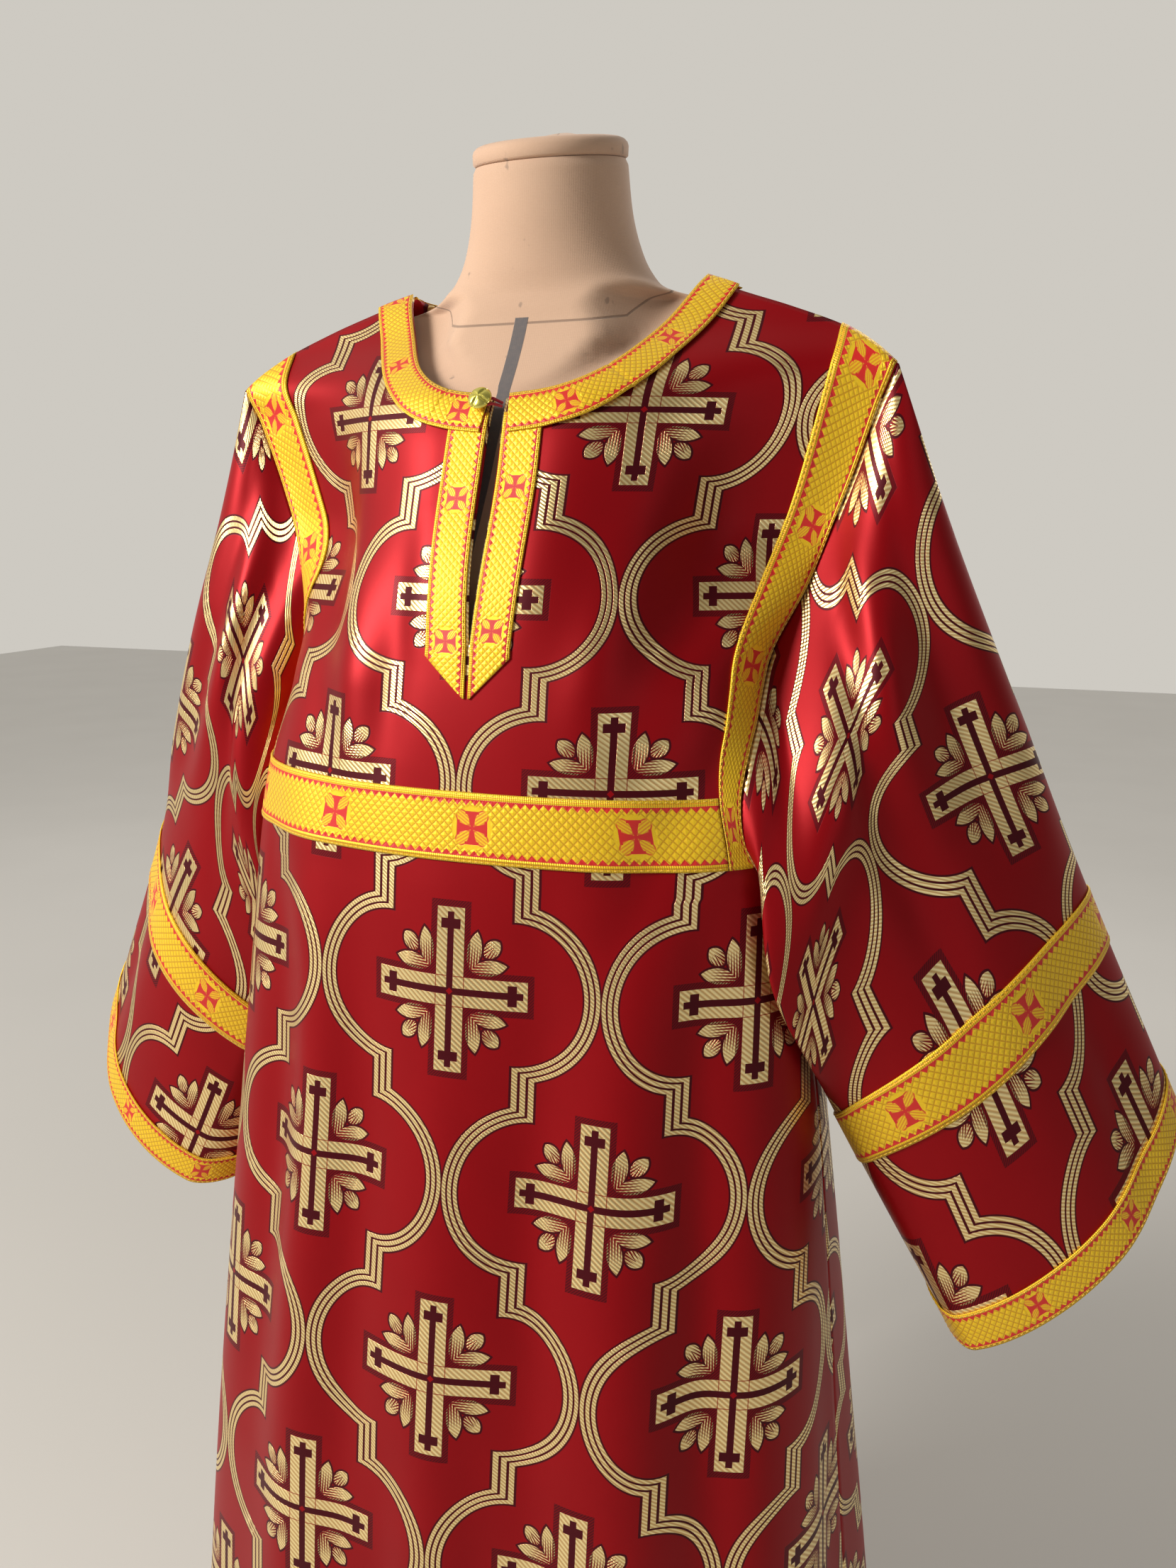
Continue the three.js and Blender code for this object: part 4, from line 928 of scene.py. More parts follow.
def galloon_material(name, width, edge_width, cell, tooth, motif_gap, scale):
    """Woven gold galloon: ribbed edges, a red sawtooth line, a lattice and small crosses."""
    g = Graph(name)
    u, v = g.uv()
    au = u.abs()
    inset = width / 2 - au
    selvedge = g.ramp(edge_width, edge_width - 0.25, inset)
    ribs = stripe(g, v, 1.6)
    cords = stripe(g, inset, edge_width / 2)
    saw = ((v.mod(tooth) / tooth * 2.0 - 1.0).abs()) * tooth * 0.55
    teeth_at = inset - edge_width
    teeth = g.ramp(0.2, -0.2, teeth_at - saw) * (1.0 - selvedge)
    line = g.ramp(0.5, 0.25, (inset - edge_width * 0.97).abs())
    inner_line = g.ramp(0.36, 0.16, (inset - edge_width * 0.5).abs()) * 0.5
    # Lattice of small diamonds, plain round each cross.
    one = ((u + v).mod(cell) / cell - 0.5).abs() * 2.0
    two = ((u - v).mod(cell) / cell - 0.5).abs() * 2.0
    ridge = one.most(two)
    net = g.ramp(0.70, 0.86, ridge)
    low = (v + motif_gap / 2).mod(motif_gap) - motif_gap / 2
    al = low.abs()
    a, b = au.most(al), au.least(al)
    arm_half = a * 0.26 + 0.7 * scale
    cross = g.inside((b - arm_half).most(a - 9.6 * scale))
    serif = g.inside(((a - 8.8 * scale).abs() - 0.9 * scale).most(b - 4.4 * scale))
    t = (au + al) * 0.7071 - 8.2 * scale
    n = (au - al) * 0.7071
    reach, belly = 6.0 * scale, 3.6 * scale
    bow = (reach**2 + belly**2) / (2 * belly)
    petal = hypot(g, t, n.abs() + (bow - belly)) - bow
    leaf = g.inside(petal)
    leaf_rim = g.ramp(0.75, 0.45, petal.abs()) * 0.85
    veins = stripe(g, n + t * 0.2, 1.7 * scale) * leaf * 0.6
    calm = g.ramp(13.5 * scale, 12.0 * scale, hypot(g, u, low))
    red = cross.most(serif).most(leaf_rim).most(veins)
    clear = 1.0 - calm
    inner = 1.0 - selvedge
    red_all = (red * calm * inner).most(teeth * (1.0 - cross)).most(line).most(inner_line)
    fine = g.noise(g.vector(u, v), 1.4, 2.0, 0.6)
    painted_glints = g.noise(g.vector(u * 0.8, v * 2.2), 0.9, 1.0)
    # Painted shade: ochre in the lattice's grooves and between the edge ribs, with noise for
    # random tone.
    shade = net * clear * inner * 0.75 + selvedge * (1.0 - ribs) * 0.5 + fine * 0.25 - 0.05
    colour = g.blend(YELLOW, OCHRE_IN_SHADE, shade)
    # Painted glints: noise flecks of brighter yellow on the gold threads.
    colour = g.blend(colour, (0.97, 0.76, 0.10), g.ramp(0.56, 0.75, painted_glints) * 0.5)
    colour = g.blend(colour, TRIM_RED, red_all)
    height = (selvedge * (cords * 0.7 + ribs * 0.3)
              + inner * clear * (1.0 - ridge) * 0.7 + fine * 0.12
              - red_all * 0.15)
    g.bump(height, 0.0006, 0.8)
    material = g.finish(colour, metallic=0.42 - red_all * 0.4, roughness=0.40 + fine * 0.1)
    g.shader.inputs["Sheen Weight"].default_value = 0.08
    return material


def canvas_material():
    """Beige canvas of the dress form, with its seams, a dark front tape and light stains."""
    g = Graph("form_canvas")
    where = g.place()
    x, y, z = (part * 1000.0 for part in g.split(where))
    weave = (stripe(g, x + y * 0.6, 0.9) + stripe(g, z, 0.9)) * 0.5
    fine = g.noise(where, 900.0, 2.0, 0.6)
    cloudy = g.noise(where, 9.0, 3.0, 0.55)
    spots = g.ramp(0.70, 0.76, g.noise(where, 60.0, 2.0, 0.7))
    colour = g.blend((0.60, 0.40, 0.275), (0.49, 0.31, 0.21), cloudy * 0.9 + fine * 0.3 - 0.1)
    front = y.under(20.0)
    # The tape runs down the front's middle from the neck's base.
    tape_centre = x + (1475.0 - z) * 0.09
    tape = g.ramp(5.6, 5.0, tape_centre.abs()) * front * z.under(1468.0)
    tape_fine = g.noise(where, 300.0, 2.0)
    colour = g.blend(colour, (0.075, 0.078, 0.088), tape * (0.84 + tape_fine * 0.12))
    seam_z = (1466.0 + y * 0.2 + (y - 20.0).most(0.0) * 0.5).least(1497.0)
    base_seam = g.ramp(1.0, 0.5, (z - seam_z).abs())
    side_seam = g.ramp(0.9, 0.4, (y - 52.0).abs()) * 0.6 * z.under(1440.0)
    back_seam = g.ramp(0.9, 0.4, x.abs()) * (1.0 - front) * 0.7
    line = base_seam.most(side_seam).most(back_seam) * (1.0 - tape)
    colour = g.blend(colour, (0.20, 0.13, 0.09), line * 0.75)
    colour = g.blend(colour, (0.16, 0.12, 0.10), spots * 0.5)
    height = weave * 0.5 + fine * 0.4 - line * 2.0 + tape * 1.2
    g.bump(height, 0.0003, 0.6)
    g.shader.inputs["Sheen Weight"].default_value = 0.2
    g.shader.inputs["Sheen Roughness"].default_value = 0.5
    return g.finish(colour, roughness=0.86 + fine * 0.08)


def metal_material(name, light, dark, metallic, roughness, scale):
    g = Graph(name)
    where = g.place()
    wear = g.noise(where, scale, 4.0, 0.6)
    fine = g.noise(where, scale * 14, 2.0, 0.5)
    colour = g.blend(light, dark, wear)
    g.bump(fine * 0.6 + wear * 0.4, 0.0001, 0.4)
    g.shader.inputs["Metallic"].default_value = metallic
    return g.finish(colour, roughness=roughness + wear * 0.12)


def cord_material():
    """Red cord with its strands laid round it."""
    g = Graph("loop_cord")
    u, v = g.uv()
    strand = stripe(g, u + v * 1.6, 1.5)
    # The darker red between the strands is painted shade in the grooves of the twist.
    colour = g.blend((0.62, 0.012, 0.035), (0.30, 0.004, 0.015), 1.0 - strand)
    g.bump(strand, 0.0003, 0.9)
    g.shader.inputs["Sheen Weight"].default_value = 0.25
    return g.finish(colour, roughness=0.6 - strand * 0.1)


def thread_material():
    g = Graph("sewing_thread")
    where = g.place()
    twist = g.noise(where, 1500.0, 2.0)
    colour = g.blend((0.88, 0.62, 0.10), (0.66, 0.40, 0.05), twist)
    return g.finish(colour, roughness=0.5 + twist * 0.1)


BROCADE = brocade_material()
WIDE_GALLOON = galloon_material("galloon_wide", WIDE, 5.4, 6.6, 7.0, 118.0, 1.22)
NARROW_GALLOON = galloon_material("galloon_narrow", NARROW, 3.0, 5.6, 5.4, 98.0, 0.80)
CANVAS = canvas_material()
STAND = metal_material("stand_paint", (0.030, 0.031, 0.034), (0.055, 0.056, 0.06), 0.3, 0.36, 18)
BRASS = metal_material("button_metal", (0.86, 0.80, 0.20), (0.66, 0.56, 0.10), 0.9, 0.2, 160)
CORD = cord_material()
THREAD = thread_material()

# ---- the cloth ---------------------------------------------------------------
FINE = 6  # cells of the shells in each cell of the solids
SLIT_PULL = 14  # how far from the slit the cloth opens with it


def slit_half(z):
    share = np.clip((z - SLIT_END_Z) / (NECKLINE_Z - SLIT_END_Z), 0, 1)
    return 4 * np.sin(np.pi * np.minimum(share * 0.85 + 0.02, 1)) + 2.6 * share


def panel_rows():
    skirt = np.linspace(0, SKIRT_ROWS, SKIRT_ROWS * 10 + 1)[:-1]
    yoke = np.linspace(SKIRT_ROWS, LAST_ROW, YOKE_ROWS * FINE + 1)
    return np.concatenate([skirt, yoke])


def front_panel():
    rows = panel_rows()
    halves = []
    middle = ACROSS / 2
    for side, start, inner in ((-1, 0, -1), (1, middle, 0)):
        places = np.linspace(0, middle, 14 * FINE + 1) + start
        points = FRONT.at(rows[:, None], places[None, :])
        uv = panel_uv(points, rows[:, None], places[None, :], -1)
        z = points[:, inner, 2]
        opened = np.where(z > SLIT_END_Z, slit_half(z), 0)[:, None]
        points[..., 0] += np.exp(-((points[..., 0] / SLIT_PULL) ** 2)) * opened * side
        halves.append((points, uv))
    return sheet_mesh("front_panel_cloth", halves, BROCADE, CLOTH, merge=True)


def back_panel():
    rows = panel_rows()
    places = np.linspace(ACROSS, 0, ACROSS * FINE + 1)
    points = BACK.at(rows[:, None], places[None, :])
    uv = panel_uv(points, rows[:, None], places[None, :], 1)
    return sheet_mesh("back_panel_cloth", [(points, uv)], BROCADE, CLOTH)


SLEEVE_PATTERN = {1: (51.0, -4.0), -1: (-12.0, -14.0)}  # shifts round and down, in mm
# A sleeve's columns run from the seam by the back, over the crest and down the front.
SLEEVE_AROUNDS = np.linspace(INNER_RAIL - 1, INNER_RAIL, 28 * 7 + 1)


def sleeve(shape):
    downs = np.linspace(1, 0, 131)
    points = shape.at(SLEEVE_AROUNDS[None, :], downs[:, None])[:, ::-shape.sign]
    around, down = np.meshgrid(SLEEVE_AROUNDS, downs)
    held = np.clip(around, INNER_RAIL - 1 + 1e-6, INNER_RAIL - 1e-6)
    u, v = shape.flat(held, down)
    shift_u, shift_v = SLEEVE_PATTERN[shape.sign]
    uv = np.stack([(-shape.sign * u + shift_u) / PATTERN_ACROSS, -v / PATTERN_DOWN + shift_v], -1)
    return sheet_mesh(f"sleeve_{SIDES[shape.sign]}_cloth", [(points, uv[:, ::-shape.sign])],
                      BROCADE, CLOTH, merge=True)


def trim_uv(points, width):
    """Place on a galloon: across from its middle, and along it from its start. The grid's
    rows run across the trimming and its columns along it."""
    rows = len(points)
    along = lengths_along(points[rows // 2])
    across = np.linspace(-width / 2, width / 2, rows)
    u, v = np.meshgrid(across, along, indexing="ij")
    return np.stack([u, v], -1)


STITCH_PITCH, STITCH_LENGTH, STITCH_RADIUS, STITCH_INSET = 4.6, 3.1, 0.3, 1.4
FORM_MIDDLE_Y = 45
stitches = []


def sew(points, width, centre=None):
    """Keeps a line of stitches along both long edges of a trimming."""
    rows = len(points)
    inset = STITCH_INSET / width * (rows - 1)
    for edge, inner in ((0, 1), (rows - 1, rows - 2)):
        line = mix(points[edge], points[inner], inset)
        along = np.gradient(line, axis=0)
        out = unit(np.cross(along, points[inner] - points[edge]))
        middle = line * (0, 0, 1) + (0, FORM_MIDDLE_Y, -100) if centre is None else centre
        out *= np.sign(((line - middle) * out).sum(-1, keepdims=True))
        line = line + out * (GALLOON / 2 + 0.05)
        lengths = lengths_along(line)
        places = np.arange(2.0, lengths[-1] - 2.0, STITCH_PITCH)
        stitches.append([np.stack([np.interp(places, lengths, values[:, i]) for i in range(3)], -1)
                         for values in (line, unit(along), out)])


def stitch_mesh():
    """All stitches as one mesh of short threads whose ends dip into the cloth."""
    centre, along, out = (np.concatenate(part) for part in zip(*stitches))
    side = unit(np.cross(along, out))
    angles = np.linspace(0, 2 * np.pi, 5, endpoint=False)[:, None, None]
    ring = STITCH_RADIUS * (np.cos(angles) * side + np.sin(angles) * out)
    tip, shoulder = along * STITCH_LENGTH * 0.5, along * STITCH_LENGTH * 0.32
    dip = out * 0.3
    verts = np.concatenate([(centre - tip - dip)[None], centre - shoulder + ring,
                            centre + shoulder + ring, (centre + tip - dip)[None]])
    verts = verts.transpose(1, 0, 2)
    faces = []
    for start in range(0, len(centre) * 12, 12):
        for k in range(5):
            after = (k + 1) % 5
            faces += [(start, start + 1 + k, start + 1 + after),
                      (start + 1 + k, start + 6 + k, start + 6 + after, start + 1 + after),
                      (start + 11, start + 6 + after, start + 6 + k)]
    name = "trim_stitches_thread"
    link(name, smooth_mesh(name, verts, faces), THREAD)


# Where the woven pattern starts along each trimming, in millimetres.
TRIM_SHIFTS = {
    "neck_trim_left": 54.0, "neck_trim_right": 1.0, "neck_trim_back": 10.0,
    "armhole_trim_left": 85.0, "armhole_trim_right": 10.0,
    "chest_band_front": -26.0, "chest_band_back": 20.0,
    "elbow_band_left": 0.0, "elbow_band_right": -50.0,
    "cuff_band_left": -25.0, "cuff_band_right": 0.0,
}


def trim(node, points, width, centre=None, merge=False):
    uv = trim_uv(points, width)
    uv[..., 1] += TRIM_SHIFTS[node]
    sew(points, width, centre)
    material = WIDE_GALLOON if width == WIDE else NARROW_GALLOON
    return sheet_mesh(f"{node}_galloon", [(points, uv)], material, GALLOON, merge)


LOW = CLOTH / 2 + LIFT + GALLOON / 2
HIGH = CLOTH / 2 + OVER_LIFT + GALLOON / 2


def armhole_trim(sign):
    middle = ACROSS / 2
    outer = middle - SEAM_MARGIN
    places = middle + sign * np.linspace(TRIM_COLUMN, outer, 13)
    rows = np.linspace(SKIRT_ROWS + 1, LAST_ROW, (YOKE_ROWS - 1) * 8 + 1)
    front = FRONT.at(rows[None, :], places[:, None], LOW)
    back = BACK.at(rows[None, ::-1], places[:, None], LOW)
    points = np.concatenate([front[:, :-1], (front[:, -1:] + back[:, :1]) / 2, back[:, 1:]], 1)
    return trim(f"armhole_trim_{SIDES[sign]}", points[::-sign], WIDE)


def chest_band(node, panel):
    end = TRIM_COLUMN - BAND_MARGIN
    places = (ACROSS / 2 + np.linspace(-end, end, 22 * 8 + 1))[::-panel.facing]
    rows = SKIRT_ROWS + np.linspace(1, 3, 13)
    return trim(node, panel.at(rows[:, None], places[None, :], LOW), WIDE)


def neck_edge(share):
    return front_place(NECK_SHARE * share, np.ones_like(share))


def move_inward(share, distance):
    """Places on the front, moved square to the neckline along the surface."""
    step, nudge = 0.01, 0.4
    turn, z = neck_edge(share)
    origin = body_point(turn, z, -1)
    ahead = body_point(*neck_edge(np.minimum(share + step, 1)), -1)
    behind = body_point(*neck_edge(np.maximum(share - step, 0)), -1)
    tangent = unit(ahead - behind)
    by_turn = body_point(turn + nudge, z, -1) - origin
    by_height = body_point(turn, z + nudge, -1) - origin
    normal = unit(np.cross(by_turn, by_height))
    target = origin - unit(np.cross(normal, tangent)) * distance[..., None]
    tt, th, hh = ((a * b).sum(-1) for a, b in
                  ((by_turn, by_turn), (by_turn, by_height), (by_height, by_height)))
    scale = nudge / (tt * hh - th * th)
    for _ in range(12):
        miss = target - body_point(turn, z, -1)
        mt, mh = (miss * by_turn).sum(-1), (miss * by_height).sum(-1)
        turn = turn + (mt * hh - mh * th) * scale
        z = z + (mh * tt - mt * th) * scale
    return turn, z


# The lengths round the neck meet at a mitre, where the trimming dips into its seam.
MITRES, MITRE_WIDTH, MITRE_DEPTH = {1: 0.584, -1: 0.343}, 0.009, 0.7


def neck_trim(sign):
    shares = np.linspace(0.06, 0.992, 150)
    inner_turn, inner_z = move_inward(shares, np.full(150, 0.8))
    outer_turn, outer_z = move_inward(shares, np.full(150, float(NARROW)))
    ridge_turn, ridge_z = ridge_place(np.array(1489.0))
    pull = smooth(0.8, 1, shares)
    outer_turn, outer_z = mix(outer_turn, ridge_turn, pull), mix(outer_z, ridge_z, pull)
    across = np.linspace(0, 1, 9)[:, None]
    turn = mix(outer_turn, inner_turn, across)
    z = mix(outer_z, inner_z, across)
    dip = MITRE_DEPTH * np.exp(-(((shares - MITRES[sign]) / MITRE_WIDTH) ** 2))
    points = front_turn(sign * turn, z, HIGH - dip)
    return trim(f"neck_trim_{SIDES[sign]}", points[:, ::sign], NARROW)


def neck_trim_back():
    ends = (ACROSS / 2) * NECK_SHARE
    places = np.linspace(ends, -ends, 141)
    from_end = ends - np.abs(places)
    drop = np.interp(from_end, [0, 1, 2], [0.02, 0.72, 0.92])
    away = np.interp(from_end, [0, 1, 2], [ends + 1.18, ends + 0.12, (ends - 2) * 1.03])
    away = np.where(from_end > 2, np.abs(places) * 1.03, away)
    share = np.linspace(0, 1, 9)[:, None]
    rows = LAST_ROW - mix(drop, 0, share)
    spots = ACROSS / 2 + mix(np.sign(places) * away, places, share)
    points = BACK.at(rows, spots, HIGH)
    return trim("neck_trim_back", points, NARROW)


SLIT_PATTERN_Z = {1: 1246, -1: 1238}


def slit_trim(sign):
    heights = np.concatenate([np.linspace(1199, 1228, 12), np.linspace(1230, 1396, 66)])
    inner = 1.2 + slit_half(heights)
    width = NARROW * np.clip((heights - SLIT_POINT_Z) / 30, 0.02, 1)
    across = np.linspace(0, 1, 9)[:, None]
    x = inner + across * width
    z = np.broadcast_to(heights, x.shape)
    points = front_turn(sign * turn_at(x, z), z, LOW)
    uv = np.stack([x - inner - NARROW / 2, z - SLIT_PATTERN_Z[sign]], -1)
    sew(points[:, 12:], NARROW)  # above the point
    return sheet_mesh(f"slit_trim_{SIDES[sign]}_galloon", [(points[::-sign], uv[::-sign])],
                      NARROW_GALLOON, GALLOON)


def sleeve_band(node, shape, low, width):
    downs = np.linspace(low + width / SLEEVE_LENGTH, low, 11)
    points = shape.at(SLEEVE_AROUNDS[None, :], downs[:, None], LOW)[:, ::-shape.sign]
    return trim(node, points, width, points.mean((0, 1)), merge=True)


pieces = {
    "front_panel": front_panel(),
    "back_panel": back_panel(),
    "sleeve_left": sleeve(LEFT),
    "sleeve_right": sleeve(RIGHT),
    "neck_trim_left": neck_trim(1),
    "neck_trim_right": neck_trim(-1),
    "neck_trim_back": neck_trim_back(),
    "slit_trim_left": slit_trim(1),
    "slit_trim_right": slit_trim(-1),
    "armhole_trim_left": armhole_trim(1),
    "armhole_trim_right": armhole_trim(-1),
    "chest_band_front": chest_band("chest_band_front", FRONT),
    "chest_band_back": chest_band("chest_band_back", BACK),
}
CUFF_SHARE = 1 - NARROW / SLEEVE_LENGTH
for kind, low, width in (("elbow", ELBOW_SHARE, WIDE), ("cuff", CUFF_SHARE, NARROW)):
    for shape in (LEFT, RIGHT):
        node = f"{kind}_band_{SIDES[shape.sign]}"
        pieces[node] = sleeve_band(node, shape, low, width)
for node, piece in pieces.items():
    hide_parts(node)
stitch_mesh()


# ---- dress form and stand -------------------------------------------------------
def form_point(angle, z):
    angle, z = np.broadcast_arrays(np.asarray(angle, float), np.asarray(z, float))
    half, side = column(FORM, "z", "half", z), column(FORM, "z", "side", z)
    is_front = np.cos(angle) > 0
    end = np.where(is_front, column(FORM, "z", "front", z), column(FORM, "z", "back", z))
    x = half * np.sin(angle)
    y = side + (end - side) * np.abs(np.cos(angle))
    on_neck = np.clip(z, NECKLINE_Z, NECK_SIDE[1])
    covered = np.where(z < NECKLINE_Z, 0, column(NECKLINE, "z", "x", on_neck))
    low = np.clip(z, 100, NECK_SIDE[1])
    limit = body_point(turn_at(np.abs(x), low), low, -1)[..., 1] + FORM_CLEARANCE
    reach = mix(42, 70, smooth(1450, 1480, z))
    under = np.where(z < NECKLINE_Z, 1,smooth(covered - reach, covered - 12, np.abs(x)))
    under = under * (1 - smooth(1483, 1497, z))
    held = mix(y, np.maximum(y, limit), under)
    y = np.where(is_front & (z < NECK_SIDE[1]), held, y)
    tilt = NECK_TILT * smooth(1500, 1587, z)
    return np.stack([x, y, z + tilt * (y - side) / np.abs(end - side)], -1)


def closed_mesh(name, rings, material):
    """A closed form from rings of points, with a flat disc at each end."""
    rows, cols = rings.shape[:2]
    verts = np.concatenate([rings.reshape(-1, 3), rings[0].mean(0)[None], rings[-1].mean(0)[None]])
    index = np.arange(rows * cols).reshape(rows, cols)
    after = np.roll(index, -1, 1)
    faces = np.stack([index[:-1], after[:-1], after[1:], index[1:]], -1).reshape(-1, 4).tolist()
    foot, head = np.full(cols, rows * cols), np.full(cols, rows * cols + 1)
    faces += np.stack([after[0], index[0], foot], -1).tolist()
    faces += np.stack([index[-1], after[-1], head], -1).tolist()
    mesh = smooth_mesh(name, verts, faces)
    mesh.set_sharp_from_angle(angle=SHARP_EDGE)
    return link(name, mesh, material)


ANGLES = np.linspace(0, 2 * np.pi, 144, endpoint=False)
heights = np.concatenate([np.linspace(low, high, count) for low, high, count in (
    (822, 833, 4), (836, 1438, 120), (1440, 1504, 81), (1508, 1587, 20))])
torso_rings = form_point(ANGLES[None, :], heights[:, None])
top = torso_rings[-1, :, :2]
torso_rings[-1, :, :2] = mix(top.mean(0), top, 0.972)  # rounds the edge under the cap
torso = closed_mesh("form_torso_canvas", torso_rings, CANVAS)
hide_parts("form_torso")

rim = form_point(ANGLES, np.full(len(ANGLES), 1587.0))
CAP = (  # rise over the neck's rim and inset from it
    (0.4, 2.4), (1.2, 0.8), (2.2, -0.3), (9.0, -0.6), (11.5, 0.2), (13.6, 2.2), (15.0, 5.0),
    (15.9, 9.0), (15.9, 40.0))
CAP_Y, STAND_Y = 50, 8
radius = np.hypot(rim[:, 0], rim[:, 1] - CAP_Y)
cap_rings = []
for rise, inset in CAP:
    scale = (radius - inset) / radius
    cap_rings.append(np.stack([rim[:, 0] * scale, CAP_Y + (rim[:, 1] - CAP_Y) * scale,
                               rim[:, 2] + rise], -1))
cap = closed_mesh("form_neck_cap_canvas", np.array(cap_rings), CANVAS)
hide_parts("form_neck_cap")


def lathe(name, profile, sides):
    """A turned piece of the stand, from its radii and heights."""
    angles = np.linspace(0, 2 * np.pi, sides, endpoint=False)
    rings = np.array([[(r * math.cos(t), STAND_Y + r * math.sin(t), h) for t in angles]
                      for r, h in profile])
    return closed_mesh(name, rings, STAND)


base = lathe("form_base_metal", (
    (178, 0), (182, 0.6), (184.6, 3), (184.4, 6), (182.5, 10), (180, 11.6), (176, 12.2),
    (60, 13.6), (44, 14.4), (36, 16), (30, 20), (25, 28), (21, 36), (20, 38)), 96)
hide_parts("form_base")
pole = lathe("form_pole_metal", ((14, 38.3), (14, 60), (14, 400), (14, 800), (14, 821.7)), 64)
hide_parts("form_pole")


# ---- button and loop ------------------------------------------------------------
BUTTON_X, BUTTON_Z = -12, 1402


def frame_on_front(x, z):
    spot = np.array([x, x + 1, x], float)
    high = np.array([z, z, z + 1], float)
    origin, beside, above = body_point(turn_at(spot, high), high, -1)
    right = unit(beside - origin)
    out = unit(np.cross(right, above - origin))
    return origin, right, np.cross(out, right), out


def button():
    origin, right, up, out = frame_on_front(BUTTON_X, BUTTON_Z)
    lift = HIGH + GALLOON / 2 + 0.4
    angles = np.linspace(0, 2 * np.pi, 96, endpoint=False)
    profile = [(2, 0), (2, 3.2), (6.6, 3.2), (8.2, 3.6), (8.9, 4.4), (9.0, 5.2), (8.6, 6.1),
               (7.8, 6.9), (6.6, 7.6), (5.2, 8.2), (3.8, 8.6), (2.4, 8.9), (1.0, 9.1)]
    rings = []
    for radius, height in profile:
        # Four lobes parted by two crossed grooves on the face.
        groove = np.exp(-((np.minimum(np.abs(np.sin(angles + 0.5)), np.abs(np.cos(angles + 0.5)))
                           * max(radius, 0.6) / 1.1) ** 2))
        deep = np.where(height > 5.5, 1.25 * groove * min(radius / 3, 1), 0)
        notch = 1 - (0.06 * groove if height > 3.3 else 0)
        r = radius * notch
        offset = height - deep + lift
        rings.append(origin + np.outer(r * np.cos(angles), right)
                     + np.outer(r * np.sin(angles), up) + np.outer(offset, out))
    piece = closed_mesh("button_metal_piece", np.array(rings), BRASS)
    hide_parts("button")


def tube(name, path, radius, sides, material):
    """A round cord along a path of points, with places round and along it."""
    path = np.array(path)
    tangent = unit(np.gradient(path, axis=0))
    side = np.cross(tangent[0], (0.2, 0.3, 0.93))
    rings, uvs = [], []
    along = lengths_along(path)
    angles = np.linspace(0, 2 * np.pi, sides + 1)
    for i in range(len(path)):
        side = unit(side - tangent[i] * (side @ tangent[i]))
        over = np.cross(tangent[i], side)
        rings.append(path[i] + radius * (np.outer(np.cos(angles), side)
                                         + np.outer(np.sin(angles), over)))
        uvs.append(np.stack([angles * radius, np.full(sides + 1, along[i])], -1))
    last = (len(path) - 1) * (sides + 1)
    faces = grid_faces(len(path), sides + 1)
    faces += [list(range(sides, 0, -1)), list(range(last, last + sides))]
    mesh = smooth_mesh(name, rings, faces, uvs, CORD_MERGE, closed=True)
    return link(name, mesh, material)


def spline(points, steps):
    """A smooth curve through points."""
    points = np.array(points, float)
    places = np.linspace(0, len(points) - 1, steps)
    rows = {"k": np.arange(len(points), dtype=float)}
    out = []
    for axis in range(points.shape[1]):
        rows["v"] = points[:, axis]
        out.append(column(rows, "k", "v", places))
    return np.stack(out, -1)


def button_loop():
    origin, right, up, out = frame_on_front(BUTTON_X, BUTTON_Z)
    level = HIGH + GALLOON / 2 + 1.5
    bend = 3.4
    route = [(14.5, 1.4, 0.6), (12.2, 1.6, 2.6), (8.5, 2.2, level), (4, 3, level),
             (0, bend, level), (-bend * 0.8, 2.1, level), (-bend, 0, level),
             (-bend * 0.8, -2.1, level), (0, -bend, level), (4, -3, level),
             (8.5, -2.2, level), (12.2, -1.6, 2.6), (14.5, -1.4, 0.6)]
    path = [origin + right * x + up * y + out * h for x, y, h in spline(route, 70)]
    piece = tube("button_loop_cord", path, 1.1, 14, CORD)
    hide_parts("button_loop")


button()
button_loop()

# ---- stage and light ----------------------------------------------------------------
PALE = (0.54, 0.52, 0.49)


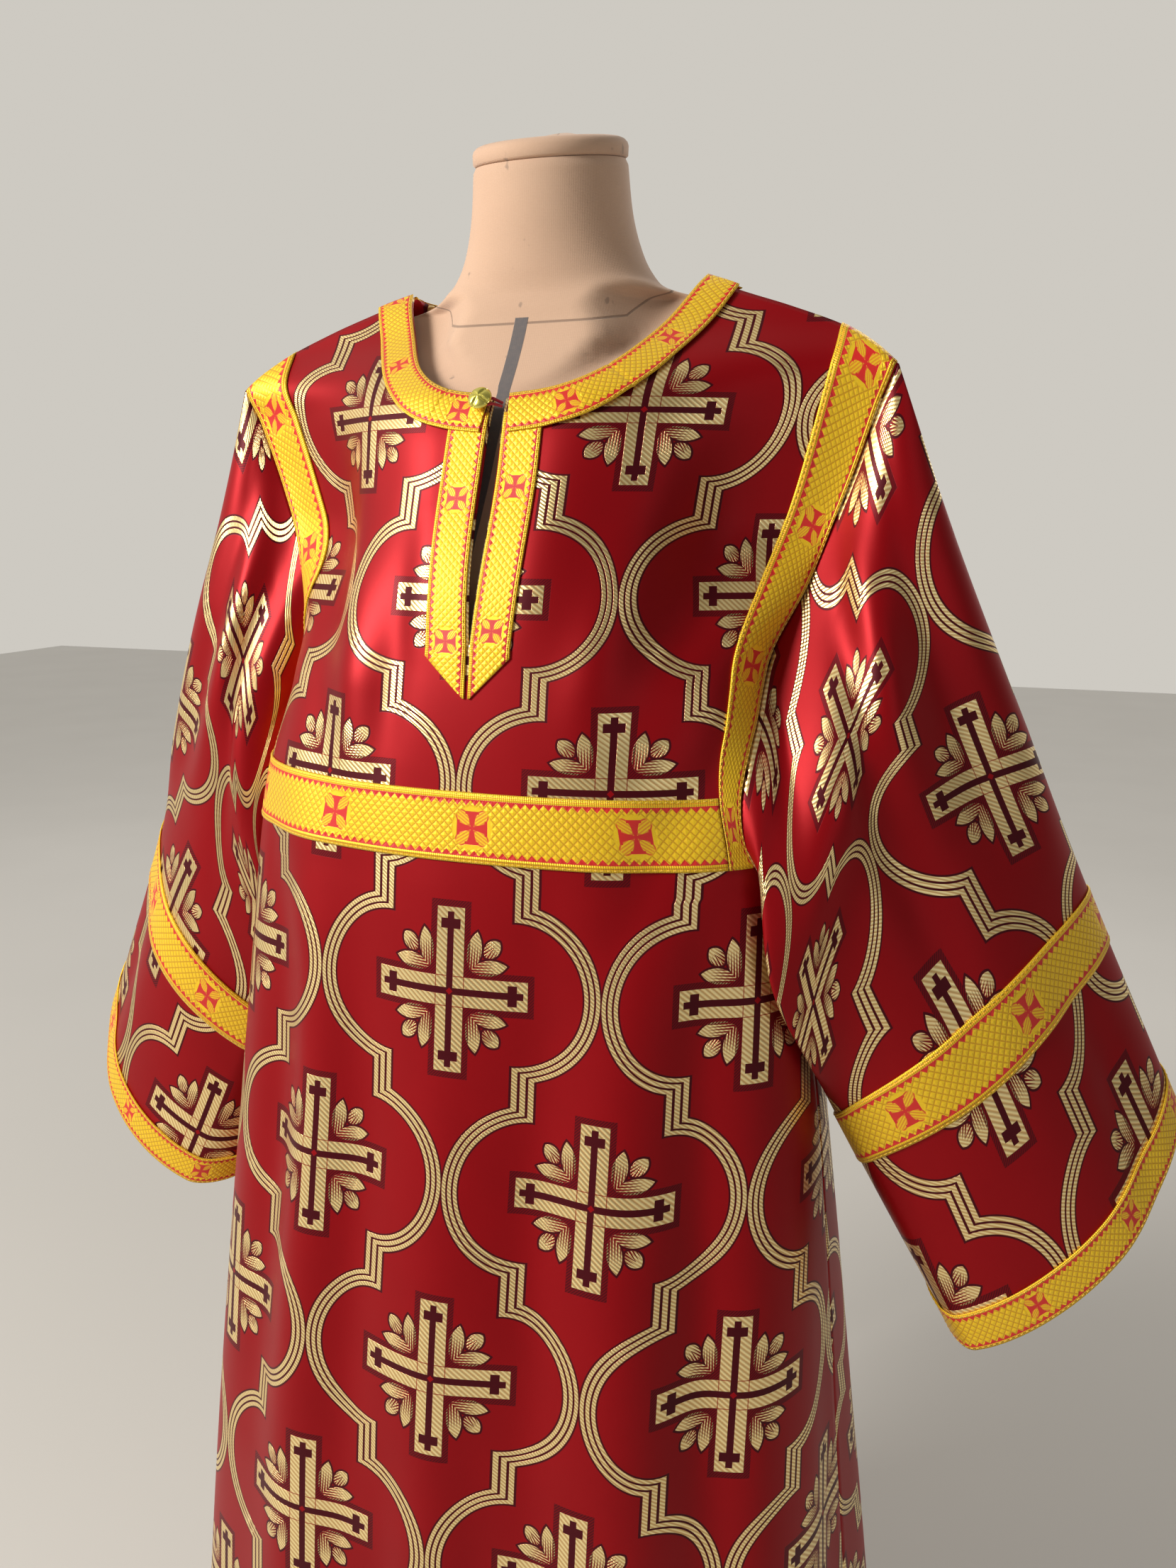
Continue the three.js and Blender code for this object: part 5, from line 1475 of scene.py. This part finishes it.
def add_stage():
    mesh = bpy.data.meshes.new("floor")
    size, drop = 9.0, -0.0005
    mesh.from_pydata([(-size, -size, drop), (size, -size, drop), (size, size, drop),
                      (-size, size, drop)], [], [(0, 1, 2, 3)])
    floor = bpy.data.objects.new("floor", mesh)
    bpy.context.scene.collection.objects.link(floor)
    g = Graph("floor_with_painted_far_light")
    noise = g.noise(g.place(), 2.0, 2.0)
    x, y, _ = g.split(g.place())
    away = hypot(g, x, y)
    # Painted light: the floor is coloured lighter away from the garment, where the lamps don't
    # reach, and the noise adds random tone.
    colour = g.blend(PALE, (0.95, 0.93, 0.90), g.ramp(0.8, 4.5, away))
    colour = g.blend(colour, (0.50, 0.48, 0.455), noise * 0.15)
    mesh.materials.append(g.finish(colour, roughness=0.8))
    world = bpy.data.worlds.new("studio")
    bpy.context.scene.world = world
    world.use_nodes = True
    back = world.node_tree.nodes["Background"]
    back.inputs["Color"].default_value = (0.80, 0.765, 0.70, 1)
    # A studio that is bright behind the garment and darker before it, on its left.
    nodes, links = world.node_tree.nodes, world.node_tree.links
    where = nodes.new("ShaderNodeTexCoord")
    toward = nodes.new("ShaderNodeVectorMath")
    toward.operation = "DOT_PRODUCT"
    toward.inputs[1].default_value = (0.55, -0.83, 0.0)
    share = nodes.new("ShaderNodeMapRange")
    share.interpolation_type = "SMOOTHSTEP"
    for name, value in (("From Min", -0.3), ("From Max", 0.5), ("To Min", 0.77), ("To Max", 0.20)):
        share.inputs[name].default_value = value
    links.new(where.outputs["Generated"], toward.inputs[0])
    links.new(toward.outputs["Value"], share.inputs["Value"])
    links.new(share.outputs["Result"], back.inputs["Strength"])
    bpy.context.scene.view_settings.view_transform = "Standard"


def area_light(name, at, target, size, power, colour):
    data = bpy.data.lights.new(name, "AREA")
    data.size, data.energy, data.color = size, power, colour
    light = bpy.data.objects.new(name, data)
    bpy.context.scene.collection.objects.link(light)
    light.location = at
    way = Vector(target) - Vector(at)
    light.rotation_euler = way.to_track_quat("-Z", "Y").to_euler()


add_stage()
area_light("key", (-1.9, -1.9, 2.5), (0, 0, 1.15), 0.9, 118, (1.0, 0.97, 0.92))
area_light("fill", (2.2, -1.6, 1.9), (0, 0, 1.1), 1.6, 6, (0.95, 0.97, 1.0))
area_light("back", (0.6, 2.4, 2.6), (0, 0, 1.1), 1.8, 22, (1.0, 0.98, 0.95))
